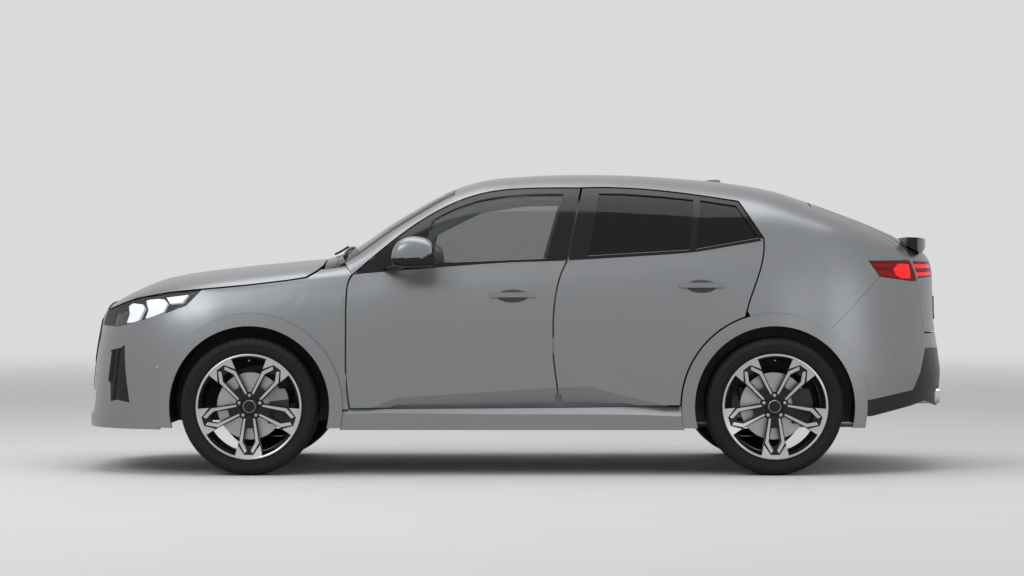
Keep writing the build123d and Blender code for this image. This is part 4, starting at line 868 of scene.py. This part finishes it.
screen_at = from_top(skin("windscreen", "cowl_panel"))
WIPERS = (
    ((0.962, 0.3), (0.893, 0.64), (0.872, 0.03)),
    ((0.962, -0.33), (0.893, 0.0), (0.872, -0.6)),
)
BLADE_LIFTS, ARM_LIFTS = (0.0105, 0.0105), (0.013, 0.025)
BLADE_SECTION, ARM_SECTION = ring(0.0055, 0.0085, 10, 2.5), ring(0.008, 0.005, 10, 3.0)


def over_screen(first, last, lifts, count):
    """Points over the windscreen between two places in plan, each with its lift at the ends."""
    first, last = np.array((*first, lifts[0])), np.array((*last, lifts[1]))
    return [screen_at(*(first + (last - first) * t)) for t in np.linspace(0, 1, count)]


wipers = []
for pivot, first, last in WIPERS:
    middle = ((first[0] + last[0]) / 2, (first[1] + last[1]) / 2)
    wipers.append(sweep(over_screen(first, last, BLADE_LIFTS, 15), BLADE_SECTION))
    wipers.append(sweep(over_screen(pivot, middle, ARM_LIFTS, 7), ARM_SECTION))
make("wipers", wipers, SATIN_BLACK)

SCREEN_PLAN = [(0.924, 0.727), (0.328, 0.556), (0.328, -0.556), (0.924, -0.727)]
HATCH_PLAN = [(-1.586, 0.494), (-2.032, 0.512), (-2.032, -0.512), (-1.586, -0.494)]
BORDER_WIDTH = 0.045
for name, plan, node, body in (("windscreen", SCREEN_PLAN, "windscreen", "body"),
                               ("tailgate", HATCH_PLAN, "tailgate_glass", "tailgate")):
    part = plate_on(from_top(skin(node)), plan, 0.03, 0.0006, 0.0016, [inset(plan, BORDER_WIDTH)])
    make(f"glass_border_{name}", [part], GLOSS_BLACK, sharp=CRISP, body=body)


# Cabin: padded seats and bench, dashboard with display, steering wheel and console
PAD_STEPS = 26
ROUNDING = 6.0
SEAM_DEPTH, SEAM_WIDTH = 0.16, 0.022
CHANNEL_SHARE, CHANNEL_WIDTH = 0.7, 0.03
PIPING, PIPING_REACH = ring(0.0028, 0.0028, 8), 0.86


class Pad:
    """Cushion given by its centre and three half extents, with a crowned top, bolsters and sewn channels."""

    PULL = 0.035

    def __init__(self, centre, along, across, rise, crown, bolster=0.0, channels=(), seams=()):
        self.centre, self.along, self.across, self.rise = [Vector(v) for v in (centre, along, across, rise)]
        self.crown, self.bolster, self.channels, self.seams = crown, bolster, channels, seams

    def lift(self, u, v):
        """Height of the top over the plain rounded block, as a share of its half thickness."""
        edge = max(0.0, min(1.0, (abs(v) - 0.5) / 0.25))
        height = self.crown * (1 - u * u) * (1 - v * v)
        height += self.bolster * edge * edge * (3 - 2 * edge) * (1 - u ** 6)
        height -= sum(SEAM_DEPTH * math.exp(-((v - s) / SEAM_WIDTH) ** 2) for s in self.seams)
        if abs(v) < max((abs(s) for s in self.seams), default=1.0):
            depth = CHANNEL_SHARE * SEAM_DEPTH
            height -= sum(depth * math.exp(-((u - s) / CHANNEL_WIDTH) ** 2) for s in self.channels)
        return height

    def point(self, u, v, w):
        """Place on the cushion of a point of the cube from -1 to 1."""
        shrink = (abs(u) ** ROUNDING + abs(v) ** ROUNDING + abs(w) ** ROUNDING) ** (-1 / ROUNDING)
        a, b, c = u * shrink, v * shrink, w * shrink
        c += max(0.0, w) * self.lift(a, b)
        a, b = a * (1 - self.PULL * (1 - v * v)), b * (1 - self.PULL * (1 - u * u))
        return self.centre + self.along * a + self.across * b + self.rise * c

    def parts(self):
        """The cushion with material number 0 and the piping along its seams with number 1."""
        block = bmesh.new()
        bmesh.ops.create_cube(block, size=2.0)
        bmesh.ops.subdivide_edges(block, edges=block.edges[:], cuts=PAD_STEPS - 1, use_grid_fill=True)
        block.verts.index_update()
        verts = [self.point(*v.co) for v in block.verts]
        faces = [tuple(v.index for v in f.verts) for f in block.faces]
        block.free()
        result = [(verts, faces, 0)]
        for seam in self.seams:
            run = [self.point(u, seam, 1.0) for u in np.linspace(-PIPING_REACH, PIPING_REACH, 30)]
            result.append((*sweep(run, PIPING), 1))
        return result


SEAT_Y = 0.37
SEAT_SEAMS, BENCH_SEAMS = (-0.56, 0.56), (-0.34, 0.34)
RAIL, POST = ring(0.016, 0.0165, 12, 4.0), ring(0.006, 0.006, 12)
RAIL_PLACES, POST_PLACES = (-0.17, 0.17), (-0.055, 0.055)
POST_LINE = ((-0.338, 1.07), (-0.352, 1.11), (-0.362, 1.15))


def seat_pad(kind, y):
    """Pad of one front seat, by kind."""
    if kind == "cushions":
        return Pad((0.04, y, 0.468), (0.248, 0, 0.012), (0, 0.245, 0), (0, 0, 0.062), 0.1, 0.45,
                   (-0.5, -0.2, 0.1, 0.4), SEAT_SEAMS)
    if kind == "backs":
        return Pad((-0.252, y, 0.792), (-0.098, 0, 0.308), (0, 0.232, 0), (0.052, 0, 0.017), 0.1, 0.5,
                   (-0.55, -0.25, 0.05, 0.35), SEAT_SEAMS)
    return Pad((-0.371, y, 1.192), (-0.024, 0, 0.088), (0, 0.128, 0), (0.04, 0, 0.011), 0.3)


def upholster(name, pads, node=None):
    """Padded piece of one or more pads, which may stand for a CAD node."""
    parts = [part for pad in pads for part in pad.parts()]
    piece = make(name, parts, [LEATHER, STITCH], PADDED)
    if node:
        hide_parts(node)


for kind, node in (("cushions", "front_seats"), ("backs", None), ("headrests", None)):
    upholster(f"seat_{kind}", [seat_pad(kind, SEAT_Y), seat_pad(kind, -SEAT_Y)], node)
stands = []
for y in (SEAT_Y, -SEAT_Y):
    stands.append((*box((-0.15, y - 0.205, 0.312), (0.232, y + 0.205, 0.412), 0.022), 0))
    for across in RAIL_PLACES:
        stands.append((*sweep([(x, y + across, 0.3) for x in np.linspace(-0.19, 0.27, 6)], RAIL), 1))
    for across in POST_PLACES:
        stands.append((*sweep([(x, y + across, z) for x, z in POST_LINE], POST), 1))
make("seat_stands", stands, [CABIN, STEEL])
upholster("bench_cushion", [Pad((-0.714, 0, 0.428), (0.24, 0, 0.01), (0, 0.592, 0), (0, 0, 0.084), 0.12,
                                channels=(-0.3, 0.3), seams=BENCH_SEAMS)], "rear_bench")
upholster("bench_back", [Pad((-0.993, 0, 0.797), (-0.106, 0, 0.29), (0, 0.592, 0), (0.04, 0, 0.0148), 0.14,
                             channels=(-0.35, 0.2), seams=BENCH_SEAMS)])
plinth = box((-0.93, -0.56, 0.284), (-0.5, 0.56, 0.352), 0.018)
make("bench_plinth", [plinth], CARPET)

DASH_SECTION = smooth([(0.932, 0.724), (0.933, 0.85), (0.93, 0.972), (0.86, 0.996), (0.76, 0.992),
                       (0.69, 0.972), (0.656, 0.94), (0.652, 0.905), (0.69, 0.878), (0.704, 0.84),
                       (0.69, 0.78), (0.72, 0.728)], 4)
DASH_MIDDLE, DASH_HALF, DASH_ROWS = (0.8, 0.86), 0.638, 25
VENT_PLACES, VANE_HEIGHTS = (-0.55, -0.19, 0.19, 0.55), (0.866, 0.877, 0.888)
VANE = ring(0.006, 0.0022, 10, 3.0)


def shrunk(outline, middle, share, y):
    """Ring of points at one Y, an outline in side view drawn in towards its middle."""
    return [(middle[0] + (x - middle[0]) * share, y, middle[1] + (z - middle[1]) * share) for x, z in outline]


verts = []
for y in DASH_HALF * np.sin(np.linspace(-math.pi / 2, math.pi / 2, DASH_ROWS)):
    verts += shrunk(DASH_SECTION, DASH_MIDDLE, 1 - 0.18 * abs(y / DASH_HALF) ** 8, y)
dash = make("dashboard_moulding", [(verts, ring_faces(DASH_ROWS, len(DASH_SECTION)))], CABIN)
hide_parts("dashboard")
fittings = [(*box((0.644, -0.11, 0.93), (0.662, 0.56, 1.046), 0.005), 0),
            (*box((0.6425, -0.1, 0.94), (0.6445, 0.55, 1.036), 0.0008), 1)]
for y in VENT_PLACES:
    fittings.append((*box((0.668, y - 0.07, 0.856), (0.7, y + 0.07, 0.898), 0.006), 0))
    for z in VANE_HEIGHTS:
        vane = [(0.665, across, z) for across in np.linspace(y - 0.062, y + 0.062, 5)]
        fittings.append((*sweep(vane, VANE), 2))
make("dashboard_fittings", fittings, [GLOSS_BLACK, SCREEN, SATIN_BLACK])

HELM = Vector((0.47, 0.37, 0.93))
HELM_AXIS = Vector((1.0, 0.0, -0.42)).normalized()
HELM_R, HELM_GRIP, HELM_SHARP = 0.176, 0.0135, 45
HUB_PAD = [(0.0005, -0.03), (0.035, -0.029), (0.055, -0.022), (0.062, -0.008), (0.06, 0.02),
           (0.045, 0.035), (0.0005, 0.035)]
SPOKE_RING, SPOKE_STEPS, SPOKE_FOOT = ring(1.0, 1.0, 14, 3.0), 7, 0.045
helm_place = Matrix.Translation(HELM) @ Vector((0, 1, 0)).rotation_difference(HELM_AXIS).to_matrix().to_4x4()
grip_ring = [(HELM_R + a, b) for a, b in ring(HELM_GRIP, HELM_GRIP * 1.15, 16)]
helm = [(*moved(lathe(grip_ring, 72), helm_place), 0), (*moved(lathe(HUB_PAD, 40), helm_place), 1)]
for angle in (0.0, 90.0, 180.0):
    c, s = math.cos(math.radians(angle)), math.sin(math.radians(angle))
    inner, outer = Vector((SPOKE_FOOT * c, 0.004, SPOKE_FOOT * s)), Vector((HELM_R * c, 0.0, HELM_R * s))
    side = Vector((-s, 0, c))
    verts = []
    for t in np.linspace(0, 1, SPOKE_STEPS):
        here, half = inner.lerp(outer, t), 0.026 - 0.012 * t
        verts += [here + side * (a * half) + Vector((0, b * 0.008, 0)) for a, b in SPOKE_RING]
    helm.append((*moved((verts, ring_faces(SPOKE_STEPS, len(SPOKE_RING))), helm_place), 1))
column = [HELM + HELM_AXIS * t for t in np.linspace(0.03, 0.26, 6)]
helm.append((*sweep(column, ring(0.034, 0.03, 20, 2.6)), 1))
helm_piece = make("steering_wheel_dressed", helm, [LEATHER, CABIN], HELM_SHARP)
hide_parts("steering_wheel")

CONSOLE = smooth([(-0.36, 0.3), (-0.36, 0.5), (-0.33, 0.56), (-0.1, 0.57), (-0.06, 0.52),
                  (0.25, 0.53), (0.48, 0.6), (0.64, 0.74), (0.655, 0.7), (0.64, 0.3)], 4)
CONSOLE_MIDDLE = (0.1, 0.286)
CONSOLE_ROWS = ((-0.112, 0.96), (-0.104, 0.99), (-0.085, 1.0), (0.085, 1.0), (0.104, 0.99), (0.112, 0.96))
verts = [v for y, share in CONSOLE_ROWS for v in shrunk(CONSOLE, CONSOLE_MIDDLE, share, y)]
make("centre_console", [(verts, ring_faces(len(CONSOLE_ROWS), len(CONSOLE)))], CABIN)

# Studio: pale floor that fades into the backdrop, soft lamps and the camera of the photograph
FLOOR_SIZE = 60.0
FADE_NEAR, FADE_FAR = 7.0, 26.0
BACKDROP = (0.7, 0.705, 0.71)
SKY_LIGHT = (0.66, 0.67, 0.68)
floor_mesh = bpy.data.meshes.new("studio_floor")
floor_mesh.from_pydata([(x * FLOOR_SIZE, y * FLOOR_SIZE, 0) for x, y in ((-1, -1), (1, -1), (1, 1), (-1, 1))],
                       [], [(0, 1, 2, 3)])
floor_mesh.materials.append(FLOOR)
floor = put("studio_floor", floor_mesh)


def seen_ray(tree):
    """Node that is 1 for the rays that show a backdrop: straight, mirrored or through glass."""
    rays = add(tree, "LightPath")
    first, second = add(tree, "Math", operation="MAXIMUM"), add(tree, "Math", operation="MAXIMUM")
    wire(tree, (rays, "Is Camera Ray", first, 0), (rays, "Is Glossy Ray", first, 1),
         (rays, "Is Transmission Ray", second, 1), (first, 0, second, 0))
    return second


def fade_floor():
    """Let the floor turn into the backdrop far from the car."""
    tree = FLOOR.node_tree
    length = add(tree, "VectorMath", operation="LENGTH")
    away = add(tree, "MapRange", {"From Min": FADE_NEAR, "From Max": FADE_FAR},
               interpolation_type="SMOOTHSTEP")
    share = add(tree, "Math", operation="MULTIPLY")
    glow = add(tree, "Emission", {"Color": (*BACKDROP, 1)})
    mix = add(tree, "MixShader")
    wire(tree, (add(tree, "TexCoord"), "Object", length, 0), (length, "Value", away, "Value"),
         (away, "Result", share, 0), (seen_ray(tree), 0, share, 1), (share, 0, mix, "Fac"),
         (tree.nodes["Principled BSDF"], "BSDF", mix, 1), (glow, "Emission", mix, 2),
         (mix, "Shader", tree.nodes["Material Output"], "Surface"))


def softbox(name, place, target, size, power):
    """Rectangular soft lamp that looks at a point."""
    lamp = bpy.data.lights.new(name, "AREA")
    lamp.shape = "RECTANGLE"
    lamp.size, lamp.size_y = size
    lamp.energy = power
    holder = put(name, lamp)
    holder.location = place
    holder.rotation_euler = (Vector(target) - Vector(place)).to_track_quat("-Z", "Y").to_euler()


fade_floor()
softbox("overhead", (0.3, 0.4, 6.5), (0, 0, 0), (8.0, 4.5), 270)
softbox("key", (5.5, 6.5, 6.0), (0.2, 0, 0.6), (4.0, 4.0), 230)
softbox("fill", (-6.0, 7.5, 3.0), (-0.6, 0, 0.7), (4.0, 3.0), 60)

world = bpy.data.worlds.new("studio")
SCENE.world = world
world.use_nodes = True
sky = world.node_tree
lighting = sky.nodes["Background"]
lighting.inputs["Color"].default_value = (*SKY_LIGHT, 1)
shown = add(sky, "Background", {"Color": (*BACKDROP, 1)})
sky_mix = add(sky, "MixShader")
wire(sky, (seen_ray(sky), 0, sky_mix, "Fac"), (lighting, "Background", sky_mix, 1),
     (shown, "Background", sky_mix, 2), (sky_mix, "Shader", sky.nodes["World Output"], "Surface"))

camera = bpy.data.cameras.new("photo_camera")
camera.sensor_width = SENSOR_WIDTH
camera.lens = FOCAL_PIXELS / PHOTO_WIDTH * SENSOR_WIDTH
camera.clip_end = 200.0
camera_holder = put("photo_camera", camera)
camera_holder.location = CAMERA_AT
camera_holder.rotation_euler = (math.radians(90), 0, math.radians(180))
SCENE.camera = camera_holder
SCENE.view_settings.view_transform = "Standard"
